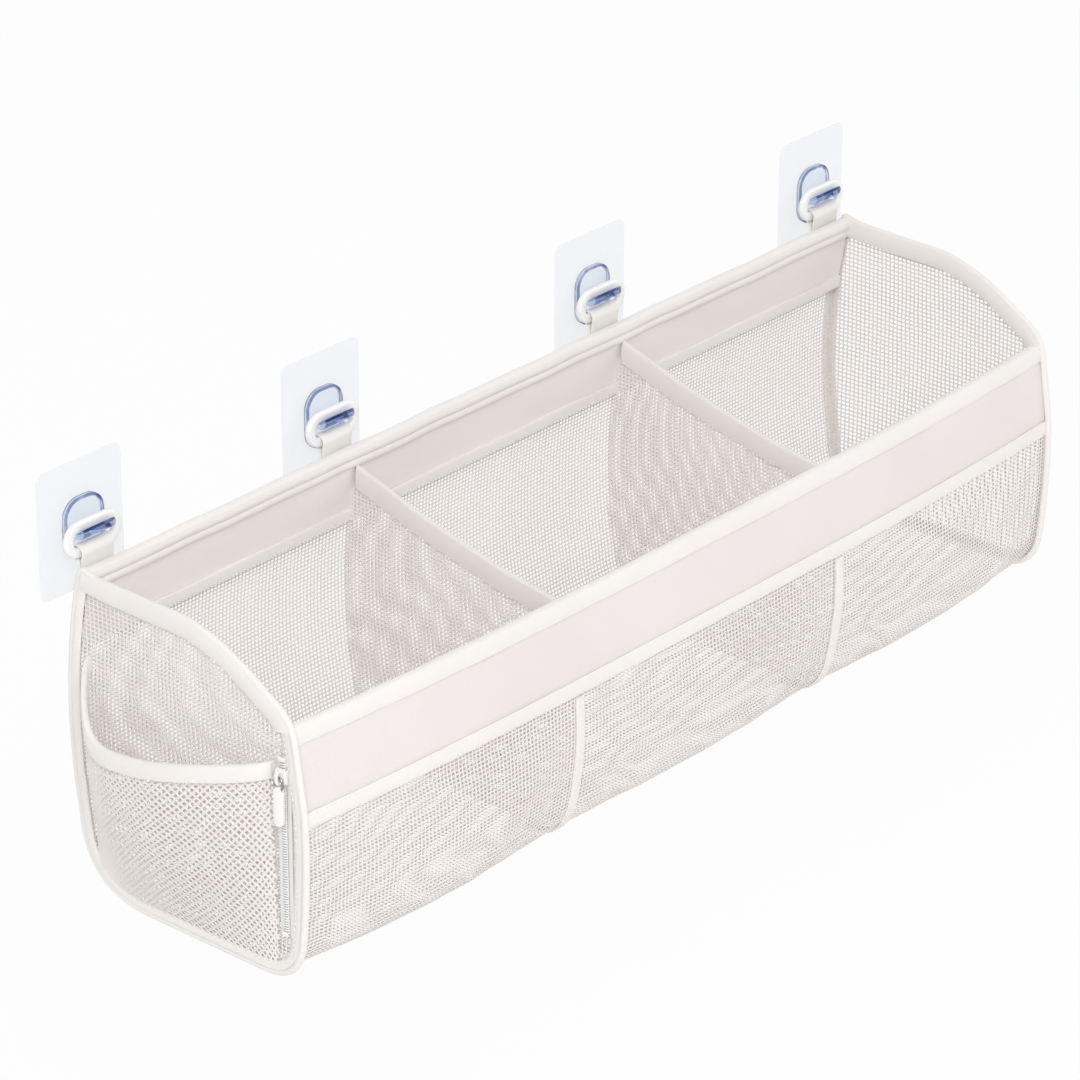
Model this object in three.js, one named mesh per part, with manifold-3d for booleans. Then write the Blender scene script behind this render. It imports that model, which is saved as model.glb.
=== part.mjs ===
// Bath toy organizer: a long soft mesh basket with three compartments that hangs on four adhesive wall hooks.
// Millimetres. +X runs along the wall, +Y points into the wall and +Z is up; the wall is the plane y = 0.
import * as THREE from 'three';
import { mergeVertices } from 'three/addons/utils/BufferGeometryUtils.js';
import Module from 'manifold-3d';

const wasm = await Module();
wasm.setup();

// Clearance between pieces that touch or are sewn together
const GAP = 0.3;

// Basket: overall sizes, with the outline of an end panel seen along X
const LENGTH = 700;
const END_OUTER_X = LENGTH / 2;
const END_MESH_THICKNESS = 1.5;
const END_SEAM_INSET = 3.1;
const SEWN_END_X = END_OUTER_X - END_SEAM_INSET;
const BACK_TOP = { y: -18, z: 201 };
const BACK_FOOT = { y: -12, z: 45 };
const BACK_BOW_Y = 1;
const BOTTOM_Z = -1;
const BOTTOM_BACK_Y = -62;
const BOTTOM_FRONT_Y = -154;
const FRONT_FOOT = { y: -182, z: 26 };
const FRONT_BELLY = { y: -186.5, z: 70 };
const FRONT_WAIST = { y: -184.5, z: 106 };
const FRONT_TOP = { y: -177, z: 155 };
const FRONT_CORNER = { y: -176, z: 163 };
const END_SLOPE_FRONT = { y: -168, z: 168 };
const END_TOP_DROP = 2;
const END_SLOPE_BACK = { y: -88, z: BACK_TOP.z - END_TOP_DROP };
const END_SLOPE_BEND_FRONT = { y: -140, z: 186 };
const END_SLOPE_BEND_BACK = { y: -118, z: END_SLOPE_BACK.z };
const END_TOP_BEND_Y = -53;
const CORNER_EASE = 2;
const FLOOR_READ_Z = 60;
const PIPING_RADIUS = 2;

// Basket: fabric layers
const PLY = 0.9;
const STIFFENER = 1.4;
const STIFFENER_INSET = 2;
const PANEL_HALF = STIFFENER / 2 + GAP + PLY;
const MESH_THICKNESS = 1.2;
const BINDING_WALL = 1.0;
const TAPE_THICKNESS = 1.1;

// Basket: heights of the seams
const FRONT_RIM_Z = FRONT_TOP.z;
const FRONT_RIM_SAG = 3;
const FRONT_BAND_HEIGHT = 54;
const FRONT_BAND_LOW_Z = FRONT_RIM_Z - FRONT_BAND_HEIGHT;
const BACK_PANEL_HEIGHT = 45;
const BACK_PANEL_LOW_Z = BACK_TOP.z - BACK_PANEL_HEIGHT;
const MESH_SEAM_GAP = 0.5;
const FRONT_MESH_TOP_Z = FRONT_BAND_LOW_Z - MESH_SEAM_GAP;
const BACK_MESH_TOP_Z = BACK_PANEL_LOW_Z - MESH_SEAM_GAP;
const FRONT_TAPE_HALF = 4.75;
const BACK_TAPE_HALF = 4;
const FRONT_TAPE = { low: FRONT_BAND_LOW_Z - FRONT_TAPE_HALF, high: FRONT_BAND_LOW_Z + FRONT_TAPE_HALF };
const BACK_TAPE = { low: BACK_PANEL_LOW_Z - BACK_TAPE_HALF, high: BACK_PANEL_LOW_Z + BACK_TAPE_HALF };
const FRONT_RIM_WING = 10;
const BACK_RIM_WING = 12;
const RIM_LIFT = 0.5;
const END_BINDING_WING = 11;

// Basket: how far the loaded cloth stands out
const BAND_BULGE_LOW = 9;
const BAND_BULGE_RIM = 5;
const FRONT_BELLY_OUT = 7;
const BOTTOM_SAG = 6;
const BACK_BELLY_OUT = 1.5;
const BULGE_AT_DIVIDER = 0.45;

// Basket: where the cloth stands out, as shares of the wrap's run from the back tape to the front tape
const BAND_PULL_FROM = 0.66;
const FRONT_BELLY_RUN = { from: 0.68, to: 0.975 };
const BOTTOM_SAG_RUN = { from: 0.38, to: 0.78 };
const BACK_BELLY_RUN = { from: 0.03, to: 0.4 };

// Dividers
const DIVIDER_XS = [-125, 120];
const DIVIDER_HEM = 13;
const DIVIDER_BELOW_BACK = 13;
const DIVIDER_BELOW_FRONT = 5;
const DIVIDER_BACK_Z = BACK_TOP.z - DIVIDER_BELOW_BACK;
const DIVIDER_FRONT_Z = FRONT_RIM_Z - DIVIDER_BELOW_FRONT;
const DIVIDER_DIP = 4;
const DIVIDER_CLEAR = 3.7;
const DIVIDER_SEAM_CLEAR = 0.9;
const DIVIDER_TAPE_WIDTH = 7;
const DIVIDER_TAPE_ROWS = 5;
const DIVIDER_TAPE_TOP = 0.015;
const DIVIDER_TAPE_LIFT = 0.5;

// Nets: pitch of the diamond gaps in the flat mesh panels
const NET_PITCH = 25;
const NET_STRAND = { across: 3.8, up: 6.2 };
const NET_GAP = {
  halfWidth: (NET_PITCH - NET_STRAND.across) / 2,
  halfHeight: (NET_PITCH - NET_STRAND.up) / 2,
};
const NET_MARGIN = 5;

// Nets: a plain grid of gaps in the curved mesh of the wrap and the pocket
const COMPARTMENT_GAPS = 4;
const WRAP_GAPS = 8;
const POCKET_GAPS = { along: 6, up: 4 };
const STRAND_SHARE = 0.4;

// Outside pocket on the left end
const POCKET_BULGE = 24;
const POCKET_FULLNESS = 0.8;
const POCKET_BULGE_TURN = 0.62 * Math.PI;
const POCKET_SEAM_RISE = 8;
const POCKET_RIM = [
  { y: -167, z: 134 },
  { y: -128, z: 124 },
  { y: -78, z: 113 },
  { y: -40, z: 114 },
  { y: -23, z: 150 },
];
const POCKET_RIM_LIFT = 2;
const POCKET_BINDING_WING = 9;

// Wall hooks, placed by the height of the back rim
const PAD_BELOW_RIM = 20;
const LIP_ABOVE_RIM = 23.5;
const PAD = { width: 66, height: 80, thickness: 0.8, corner: 6, low: BACK_TOP.z - PAD_BELOW_RIM };
const HOOK_BASE = { width: 31, height: 38, thickness: 2.4, corner: 12, low: BACK_TOP.z };
const HOOK_RIM = { width: 2, height: 0.8 };
const HOOK_ARM_WIDTH = 25;
const HOOK_FLOOR = 3.5;
const HOOK_LIP = 2.5;
const HOOK_LIP_TOP_Z = BACK_TOP.z + LIP_ABOVE_RIM;
const END_HOOK_INSET = 17;
const DIVIDER_HOOK_SHIFT = -10;
const HOOK_XS = [
  END_HOOK_INSET - END_OUTER_X,
  ...DIVIDER_XS.map((x) => x + DIVIDER_HOOK_SHIFT),
  END_OUTER_X - END_HOOK_INSET,
];

// A fully rounded end keeps this much straight edge
const ROUND_END_FLAT = 0.01;

// Hanging rings
const RING = { width: 44, height: 22, thickness: 4, bevel: 1.5, slotWidth: 31, slotHeight: 9, slotCorner: 3 };
const RING_Y = -9.5;
const RING_ABOVE_RIM = 16;
const RING_Z = BACK_TOP.z + RING_ABOVE_RIM;
const RING_BAR = (RING.height - RING.slotHeight) / 2;
const RING_TOP_BAR_Z = RING_Z + RING.slotHeight / 2 + RING_BAR / 2;
const RING_LOW_BAR_Z = RING_Z - RING.slotHeight / 2 - RING_BAR / 2;
const TROUGH_WIDTH = 10;

// Webbing straps
const STRAP = { width: 25, ply: 1.2, loopInner: 3.7, tailBelowRim: 21, tailAboveRim: 2 };
const STRAP_TAIL = { low: BACK_TOP.z - STRAP.tailBelowRim, high: BACK_TOP.z + STRAP.tailAboveRim };
const STRAP_ARC = { from: -58, to: 188 };
const STRAP_ARC_STEPS = 12;
const STRAP_MEET_RISE = 1.2;

// Side zip on the left end, beside the front edge
const ZIP_Y = -173.5;
const ZIP = { low: 26, high: 140, tapeWidth: 2.6, tapeThickness: 0.9, coilWidth: 4.2, coilHeight: 2.1 };
const ZIP_STOP = { width: 5.2, height: 3, rise: 0.9 };
const SLIDER = { length: 10, width: 8.6, plate: 1.8, z: 128 };
const BAIL = { width: 2.4, wire: 1.4, reach: 9, hole: 2.2 };
const PULL_RING = { width: 7.8, height: 8.4, wire: 1.2 };
const PULL_TAB = { width: 6.6, length: 25, thickness: 3.2, eye: 1.9, wall: 0.6 };

// Fineness of the curved pieces
const BACK_ROWS = 3;
const END_BINDING_STEPS = 22;
const PIPING_STEPS = 34;
const DIVIDER_STEPS = 7;
const PIPING_SIDES = 6;
const CURVE_SEGMENTS = 3;
const FINE_STEPS = 1200;

// Finishes
const finish = (name, color, roughness, metalness) =>
  Object.assign(new THREE.MeshStandardMaterial({ color, roughness, metalness }), { name });
const FABRIC = finish('woven_fabric', 0xf4f0ea, 0.85, 0);
const BINDING = finish('binding_tape', 0xfaf7f2, 0.8, 0);
const BOARD = finish('stiffener_board', 0xe6e2da, 0.9, 0);
const NET = finish('mesh_net', 0xf6f2ee, 0.8, 0);
const WEBBING = finish('webbing', 0xefebe3, 0.85, 0);
const CLEAR = finish('clear_plastic', 0xc6d8ee, 0.08, 0);
const FILM = finish('clear_film', 0xf2f4f6, 0.25, 0);
const RING_PLASTIC = finish('white_plastic', 0xf7f7f5, 0.35, 0);
const METAL = finish('zip_metal', 0xb9bcc0, 0.3, 1);

const organizer = new THREE.Group();
organizer.name = 'bath_toy_organizer';

const group = (name) => {
  const made = new THREE.Group();
  made.name = name;
  organizer.add(made);
  return made;
};
const wallHooks = group('wall_hooks');
const hangRings = group('hang_rings');
const basket = group('basket');
const zipPull = group('zip');

const addPiece = (parent, name, geometry, material) => {
  const mesh = new THREE.Mesh(geometry, material);
  mesh.name = name;
  parent.add(mesh);
};

// Closed solids from rows of points

const geometryFrom = (points, triangles) => {
  const geometry = new THREE.BufferGeometry();
  geometry.setAttribute('position', new THREE.Float32BufferAttribute(points.flatMap((p) => p.toArray()), 3));
  geometry.setIndex(outward(points, triangles).flat());
  geometry.computeVertexNormals();
  return geometry;
};

const outward = (points, triangles) => {
  const cross = new THREE.Vector3();
  const volume = triangles.reduce(
    (sum, [a, b, c]) => sum + points[a].dot(cross.crossVectors(points[b], points[c])),
    0,
  );
  return volume > 0 ? triangles : triangles.map(([a, b, c]) => [a, c, b]);
};

// A sheet with thickness: face(u, v, side) gives a point on the near face (side 0) or the far face (side 1),
// and isGap(column, row) says which cells are left open
const sheet = (columns, rows, face, isGap = () => false) => {
  const points = [];
  const triangles = [];
  const at = (side, column, row) => (side * (columns + 1) + column) * (rows + 1) + row;
  for (let side = 0; side < 2; side += 1) {
    for (let column = 0; column <= columns; column += 1) {
      for (let row = 0; row <= rows; row += 1) {
        points.push(face(column / columns, row / rows, side));
      }
    }
  }
  const quad = (a, b, c, d) => triangles.push([a, b, c], [a, c, d]);
  const wall = ([c1, r1], [c2, r2]) => quad(at(0, c1, r1), at(1, c1, r1), at(1, c2, r2), at(0, c2, r2));
  const isCloth = (column, row) =>
    column >= 0 && column < columns && row >= 0 && row < rows && !isGap(column, row);
  for (let column = 0; column < columns; column += 1) {
    for (let row = 0; row < rows; row += 1) {
      const right = column + 1;
      const above = row + 1;
      if (isCloth(column, row)) {
        quad(at(0, column, row), at(0, right, row), at(0, right, above), at(0, column, above));
        quad(at(1, column, row), at(1, column, above), at(1, right, above), at(1, right, row));
        if (!isCloth(column, row - 1)) wall([column, row], [right, row]);
        if (!isCloth(column, above)) wall([right, above], [column, above]);
        if (!isCloth(column - 1, row)) wall([column, above], [column, row]);
        if (!isCloth(right, row)) wall([right, row], [right, above]);
      }
    }
  }
  return geometryFrom(points, triangles);
};

// A section carried along stations; each station gives its edge point and its across and down directions
const loft = (stations, section) => {
  const count = section.length;
  const points = stations.flatMap(({ edge, across, down }) =>
    section.map(([a, d]) => edge.clone().addScaledVector(across, a).addScaledVector(down, d)));
  const triangles = [];
  for (let station = 0; station + 1 < stations.length; station += 1) {
    for (let corner = 0; corner < count; corner += 1) {
      const next = (corner + 1) % count;
      const a = station * count + corner;
      const b = station * count + next;
      triangles.push([a, b, b + count], [a, b + count, a + count]);
    }
  }
  const cap = THREE.ShapeUtils.triangulateShape(section.map(([a, d]) => new THREE.Vector2(a, d)), []);
  const last = (stations.length - 1) * count;
  const facing = Math.sign(signedArea(section));
  for (const corners of cap) {
    const alike = Math.sign(signedArea(corners.map((i) => section[i]))) === facing;
    const [a, b, c] = alike ? corners : [...corners].reverse();
    triangles.push([c, b, a], [last + a, last + b, last + c]);
  }
  return geometryFrom(points, triangles);
};

const signedArea = (section) =>
  section.reduce((sum, [a, d], i) => {
    const [nextA, nextD] = section[(i + 1) % section.length];
    return sum + (a * nextD - nextA * d) / 2;
  }, 0);

// A binding folded over an edge: two wings joined across the top, with the edge at down = 0
const foldedSection = (halfInside, wing, wall) => [
  [-halfInside - wall, -GAP / 2],
  [-halfInside - wall / 3, -GAP - wall],
  [halfInside + wall / 3, -GAP - wall],
  [halfInside + wall, -GAP / 2],
  [halfInside + wall, wing],
  [halfInside, wing],
  [halfInside, -GAP],
  [-halfInside, -GAP],
  [-halfInside, wing],
  [-halfInside - wall, wing],
];

const roundSection = (radius, sides) =>
  Array.from({ length: sides }, (_, i) => {
    const turn = (2 * Math.PI * i) / sides;
    return [radius * Math.cos(turn), radius * Math.sin(turn)];
  });

// Solids cut from or joined to one another

const toManifold = (geometry) => {
  const bare = geometry.clone();
  bare.deleteAttribute('normal');
  bare.deleteAttribute('uv');
  const merged = mergeVertices(bare, 1e-4);
  return new wasm.Manifold(new wasm.Mesh({
    numProp: 3,
    vertProperties: new Float32Array(merged.attributes.position.array),
    triVerts: new Uint32Array(merged.index.array),
  }));
};

const fromManifold = (solid) => {
  const mesh = solid.getMesh();
  const geometry = new THREE.BufferGeometry();
  geometry.setAttribute('position', new THREE.BufferAttribute(mesh.vertProperties, 3));
  geometry.setIndex(new THREE.BufferAttribute(mesh.triVerts, 1));
  geometry.computeVertexNormals();
  return geometry;
};

const joined = (...geometries) =>
  fromManifold(geometries.map(toManifold).reduce((sum, solid) => sum.add(solid)));
const cut = (geometry, ...tools) =>
  fromManifold(tools.map(toManifold).reduce((rest, tool) => rest.subtract(tool), toManifold(geometry)));

const box = (width, depth, height, x, y, z) => new THREE.BoxGeometry(width, depth, height).translate(x, y, z);

const roundedOutline = (target, width, height, corner) => {
  const halfWidth = width / 2 - corner;
  const halfHeight = height / 2 - corner;
  target.absarc(halfWidth, halfHeight, corner, 0, Math.PI / 2);
  target.absarc(-halfWidth, halfHeight, corner, Math.PI / 2, Math.PI);
  target.absarc(-halfWidth, -halfHeight, corner, Math.PI, 1.5 * Math.PI);
  target.absarc(halfWidth, -halfHeight, corner, 1.5 * Math.PI, 2 * Math.PI);
  target.closePath();
  return target;
};

// Extrude an outline drawn in X and Z, from its front face at frontY back towards the wall
const plate = (outline, depth, frontY, options = {}) => {
  const settings = { depth, bevelEnabled: false, curveSegments: CURVE_SEGMENTS, ...options };
  return new THREE.ExtrudeGeometry(outline, settings).rotateX(Math.PI / 2).translate(0, frontY + depth, 0);
};

// Extrude an outline drawn in Y and Z along X, centred on x
const crosswise = (outline, width, x) =>
  new THREE.ExtrudeGeometry(outline, { depth: width, bevelEnabled: false, curveSegments: CURVE_SEGMENTS })
    .applyMatrix4(new THREE.Matrix4().set(0, 0, 1, x - width / 2, 1, 0, 0, 0, 0, 1, 0, 0, 0, 0, 0, 1));

// Edges of an end panel, drawn in Y and Z from the top of the back round the bottom to the top of the front
const corner = (point) => new THREE.Vector2(point.y, point.z);
const bend = (from, control, to) => new THREE.QuadraticBezierCurve(corner(from), corner(control), corner(to));
const bottomBack = { y: BOTTOM_BACK_Y, z: BOTTOM_Z };
const bottomFront = { y: BOTTOM_FRONT_Y, z: BOTTOM_Z };
const backEdge = bend(BACK_TOP, { y: BACK_BOW_Y, z: (BACK_TOP.z + BACK_FOOT.z) / 2 }, BACK_FOOT);
const backCorner = bend(BACK_FOOT, { y: BACK_FOOT.y - CORNER_EASE, z: BOTTOM_Z }, bottomBack);
const bottomEdge = new THREE.LineCurve(corner(bottomBack), corner(bottomFront));
const frontCorner = bend(bottomFront, { y: FRONT_FOOT.y + CORNER_EASE, z: BOTTOM_Z }, FRONT_FOOT);
const frontBelly = bend(FRONT_FOOT, FRONT_BELLY, FRONT_WAIST);
const bandEdge = new THREE.LineCurve(corner(FRONT_WAIST), corner(FRONT_TOP));
const topCorner = bend(FRONT_TOP, FRONT_CORNER, END_SLOPE_FRONT);
const topSlope = new THREE.CubicBezierCurve(
  corner(END_SLOPE_FRONT),
  corner(END_SLOPE_BEND_FRONT),
  corner(END_SLOPE_BEND_BACK),
  corner(END_SLOPE_BACK),
);
const topBack = bend(END_SLOPE_BACK, { y: END_TOP_BEND_Y, z: END_SLOPE_BACK.z }, BACK_TOP);

const pathOf = (...curves) => {
  const path = new THREE.CurvePath();
  curves.forEach((curve) => path.add(curve));
  return path;
};
const lowerPath = pathOf(backEdge, backCorner, bottomEdge, frontCorner, frontBelly, bandEdge);
const topPath = pathOf(topCorner, topSlope, topBack);

// The same edges as functions of height or depth
const lowerPoints = lowerPath.getSpacedPoints(FINE_STEPS);
const along = (points, from, to, value) => {
  const start = points[0][from] - value;
  const next = Math.max(1, points.findIndex((point) => (point[from] - value) * start <= 0));
  const before = points[next - 1];
  const after = points[next];
  const share = (value - before[from]) / (after[from] - before[from]);
  return THREE.MathUtils.lerp(before[to], after[to], share);
};
const frontPoints = [...frontBelly.getPoints(FINE_STEPS), ...bandEdge.getPoints(1).slice(1)];
const backPoints = backEdge.getPoints(FINE_STEPS);
const floorPoints = lowerPoints.filter((point) => point.y < FLOOR_READ_Z);
const frontEdgeY = (z) => along(frontPoints, 'y', 'x', z);
const backEdgeY = (z) => along(backPoints, 'y', 'x', z);
const floorZ = (y) => along(floorPoints, 'x', 'y', y);

// How far the cloth stands out at x: the whole band, and each compartment between its dividers
const bandBulge = (x) => 1 - Math.abs(x / SEWN_END_X) ** 3;
const supports = [
  { x: -SEWN_END_X, hold: 0 },
  ...DIVIDER_XS.map((x) => ({ x, hold: BULGE_AT_DIVIDER })),
  { x: SEWN_END_X, hold: 0 },
];
const compartmentBulge = (x) => {
  const right = Math.max(1, supports.findIndex((support) => support.x >= x));
  const from = supports[right - 1];
  const to = supports[right];
  const share = (x - from.x) / (to.x - from.x);
  const held = THREE.MathUtils.lerp(from.hold, to.hold, share);
  return held + (1 - (from.hold + to.hold) / 2) * Math.sin(Math.PI * share);
};
const hump = (t, { from, to }) => (t > from && t < to ? Math.sin((Math.PI * (t - from)) / (to - from)) : 0);
const bandOut = (x, z) => {
  const rise = THREE.MathUtils.clamp((z - FRONT_BAND_LOW_Z) / (FRONT_RIM_Z - FRONT_BAND_LOW_Z), 0, 1);
  return bandBulge(x) * THREE.MathUtils.lerp(BAND_BULGE_LOW, BAND_BULGE_RIM, rise);
};
const bandFaceY = (x, z) => frontEdgeY(z) - bandOut(x, z);
const bandMidY = (x, z) => bandFaceY(x, z) + PANEL_HALF;
const bandTopZ = (x) => FRONT_RIM_Z - FRONT_RIM_SAG * bandBulge(x);
const backMidY = (z) => backEdgeY(z) - PANEL_HALF;

// The mesh wrap's run from the back tape (t = 0) under the bottom to the front tape (t = 1)
const wrapFirst = lowerPoints.findIndex((point) => point.y <= BACK_MESH_TOP_Z);
const wrapLast = lowerPoints.findLastIndex((point) => point.y <= FRONT_MESH_TOP_Z);
const wrapPoint = (x, t, inset) => {
  const i = Math.round(THREE.MathUtils.lerp(wrapFirst, wrapLast, t));
  const here = lowerPoints[i];
  const ahead = lowerPoints[i + 1].clone().sub(lowerPoints[i - 1]).normalize();
  const cloth = compartmentBulge(x);
  const out = BAND_BULGE_LOW * bandBulge(x) * THREE.MathUtils.smoothstep(t, BAND_PULL_FROM, 1)
    + cloth * FRONT_BELLY_OUT * hump(t, FRONT_BELLY_RUN)
    + cloth * BOTTOM_SAG * hump(t, BOTTOM_SAG_RUN)
    + cloth * BACK_BELLY_OUT * hump(t, BACK_BELLY_RUN)
    - inset;
  return new THREE.Vector3(x, here.x - ahead.y * out, here.y + ahead.x * out);
};

// Lines of a grid of gaps, as shares of its run: half a strand at each end and a whole one between two gaps
const steps = (count) => Array.from({ length: count + 1 }, (_, i) => i / count);
const gapLines = (gaps) => {
  const halfStrand = STRAND_SHARE / 2 / gaps;
  const starts = steps(gaps).slice(0, -1);
  return [0, ...starts.flatMap((start) => [start + halfStrand, start + 1 / gaps - halfStrand]), 1];
};
const isOdd = (count) => count % 2 === 1;

// Columns of the sewn sheets, with one on each divider
const compartmentLines = gapLines(COMPARTMENT_GAPS);
const columnXs = supports.slice(1).flatMap((to, i) =>
  compartmentLines
    .slice(i === 0 ? 0 : 1)
    .map((share) => THREE.MathUtils.lerp(supports[i].x, to.x, share)));
const BASKET_COLUMNS = columnXs.length - 1;
const spanX = (u) => columnXs[Math.round(u * BASKET_COLUMNS)];

// Back panel and front band: two plies with a stiffener between them
const layers = [
  { name: 'rear_ply', from: PANEL_HALF, to: PANEL_HALF - PLY, inset: 0, material: FABRIC },
  { name: 'stiffener', from: STIFFENER / 2, to: -STIFFENER / 2, inset: STIFFENER_INSET, material: BOARD },
  { name: 'front_ply', from: PLY - PANEL_HALF, to: -PANEL_HALF, inset: 0, material: FABRIC },
];
for (const { name, from, to, inset, material } of layers) {
  addPiece(basket, `back_panel_${name}`, sheet(2, BACK_ROWS, (u, v, side) => {
    const z = THREE.MathUtils.lerp(BACK_PANEL_LOW_Z + inset, BACK_TOP.z - inset, v);
    const x = spanX(u) * (1 - inset / SEWN_END_X);
    return new THREE.Vector3(x, backMidY(z) + (side ? to : from), z);
  }), material);
  addPiece(basket, `front_band_${name}`, sheet(BASKET_COLUMNS, 1, (u, v, side) => {
    const x = spanX(u) * (1 - inset / SEWN_END_X);
    const z = THREE.MathUtils.lerp(FRONT_BAND_LOW_Z + inset, bandTopZ(x) - inset, v);
    return new THREE.Vector3(x, bandMidY(x, z) + (side ? to : from), z);
  }), material);
}

// Rim bindings, folded over the top edges of the back panel and the front band
const rimStation = (x, topZ, midY, wing) => {
  const top = new THREE.Vector3(x, midY(topZ), topZ);
  const down = new THREE.Vector3(x, midY(topZ - wing), topZ - wing).sub(top).normalize();
  return { edge: top.addScaledVector(down, -RIM_LIFT), across: new THREE.Vector3(0, -down.z, down.y), down };
};
const panelFold = (wing) => foldedSection(PANEL_HALF + GAP, wing, BINDING_WALL);
addPiece(
  basket,
  'back_rim_binding',
  loft(
    steps(2).map((u) => rimStation(spanX(u), BACK_TOP.z, backMidY, BACK_RIM_WING)),
    panelFold(BACK_RIM_WING),
  ),
  BINDING,
);
addPiece(
  basket,
  'front_rim_binding',
  loft(
    steps(BASKET_COLUMNS).map((u) =>
      rimStation(spanX(u), bandTopZ(spanX(u)), (z) => bandMidY(spanX(u), z), FRONT_RIM_WING)),
    panelFold(FRONT_RIM_WING),
  ),
  BINDING,
);

// Flat tapes over the seams between the panels and the mesh
addPiece(basket, 'front_lower_tape', sheet(BASKET_COLUMNS, 2, (u, v, side) => {
  const z = THREE.MathUtils.lerp(FRONT_TAPE.low, FRONT_TAPE.high, v);
  return new THREE.Vector3(spanX(u), bandFaceY(spanX(u), z) - GAP - side * TAPE_THICKNESS, z);
}), BINDING);
addPiece(basket, 'back_lower_tape', sheet(2, 2, (u, v, side) => {
  const z = THREE.MathUtils.lerp(BACK_TAPE.low, BACK_TAPE.high, v);
  return new THREE.Vector3(spanX(u), backMidY(z) - PANEL_HALF - GAP - side * TAPE_THICKNESS, z);
}), BINDING);

// One mesh wrap for the front, the bottom and the back
const wrapLines = gapLines(WRAP_GAPS);
const wrapRows = wrapLines.length - 1;
addPiece(
  basket,
  'mesh_wrap',
  sheet(
    BASKET_COLUMNS,
    wrapRows,
    (u, v, side) => wrapPoint(spanX(u), wrapLines[Math.round(v * wrapRows)], side * MESH_THICKNESS),
    (column, row) => isOdd(column % (compartmentLines.length - 1)) && isOdd(row),
  ),
  NET,
);

// Flat nets: an outline in Y and Z with rows of diamond gaps
const edgeDistance = (outline, point) =>
  outline.reduce((least, from, i) => {
    const to = outline[(i + 1) % outline.length];
    const line = new THREE.Line3(new THREE.Vector3(from.x, from.y, 0), new THREE.Vector3(to.x, to.y, 0));
    const probe = new THREE.Vector3(point.x, point.y, 0);
    return Math.min(least, line.closestPointToPoint(probe, true, new THREE.Vector3()).distanceTo(probe));
  }, Infinity);

const isInside = (outline, point) =>
  outline.reduce((inside, from, i) => {
    const to = outline[(i + 1) % outline.length];
    const spans = from.y > point.y !== to.y > point.y;
    const crossing = from.x + ((point.y - from.y) * (to.x - from.x)) / (to.y - from.y);
    return spans && point.x < crossing ? !inside : inside;
  }, false);

const diamondGap = (centre) => new THREE.Shape([
  new THREE.Vector2(centre.x + NET_GAP.halfWidth, centre.y),
  new THREE.Vector2(centre.x, centre.y + NET_GAP.halfHeight),
  new THREE.Vector2(centre.x - NET_GAP.halfWidth, centre.y),
  new THREE.Vector2(centre.x, centre.y - NET_GAP.halfHeight),
]);

const gapCentres = (outline) => {
  const bounds = new THREE.Box2().setFromPoints(outline);
  const half = NET_PITCH / 2;
  const centres = [];
  let row = 0;
  for (let z = bounds.min.y + half; z < bounds.max.y; z += half) {
    for (let y = bounds.min.x + half + (row % 2) * half; y < bounds.max.x; y += NET_PITCH) {
      centres.push(new THREE.Vector2(y, z));
    }
    row += 1;
  }
  const clear = NET_GAP.halfWidth + NET_MARGIN;
  return centres.filter((centre) => isInside(outline, centre) && edgeDistance(outline, centre) > clear);
};

const net = (outline, x) => {
  const gaps = gapCentres(outline).map((centre) => crosswise(diamondGap(centre), 2 * END_MESH_THICKNESS, x));
  return cut(crosswise(new THREE.Shape(outline), END_MESH_THICKNESS, x), ...gaps);
};

// End panels with their top bindings and edge pipings
const pipingCurve = lowerPath.getSpacedPoints(PIPING_STEPS);
const bindingCurve = topPath.getSpacedPoints(END_BINDING_STEPS);
const endPoints = [...pipingCurve, ...bindingCurve.slice(1, -1)];
const turned = (points, i) =>
  points[Math.min(i + 1, points.length - 1)].clone().sub(points[Math.max(i - 1, 0)]).normalize();
for (const [name, sign] of [['left', -1], ['right', 1]]) {
  const midX = sign * (END_OUTER_X - END_MESH_THICKNESS / 2);
  const across = new THREE.Vector3(1, 0, 0);
  addPiece(basket, `${name}_end_mesh`, net(endPoints, midX), NET);
  const topStations = bindingCurve.slice(1).map((point, i) => {
    const ahead = turned(bindingCurve, i + 1);
    return {
      edge: new THREE.Vector3(midX, point.x, point.y),
      across,
      down: new THREE.Vector3(0, ahead.y, -ahead.x),
    };
  });
  const endFold = foldedSection(END_MESH_THICKNESS / 2 + GAP, END_BINDING_WING, BINDING_WALL);
  addPiece(basket, `${name}_end_top_binding`, loft(topStations, endFold), BINDING);
  const pipingStations = pipingCurve.slice(1, -1).map((point, i) => {
    const ahead = turned(pipingCurve, i + 1);
    const outwards = new THREE.Vector3(0, -ahead.y, ahead.x);
    const seam = new THREE.Vector3(midX, point.x, point.y);
    const edge = seam.addScaledVector(outwards, PIPING_RADIUS + GAP);
    return { edge, across, down: outwards };
  });
  const piping = loft(pipingStations, roundSection(PIPING_RADIUS, PIPING_SIDES));
  addPiece(basket, `${name}_end_piping`, piping, BINDING);
}

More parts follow.
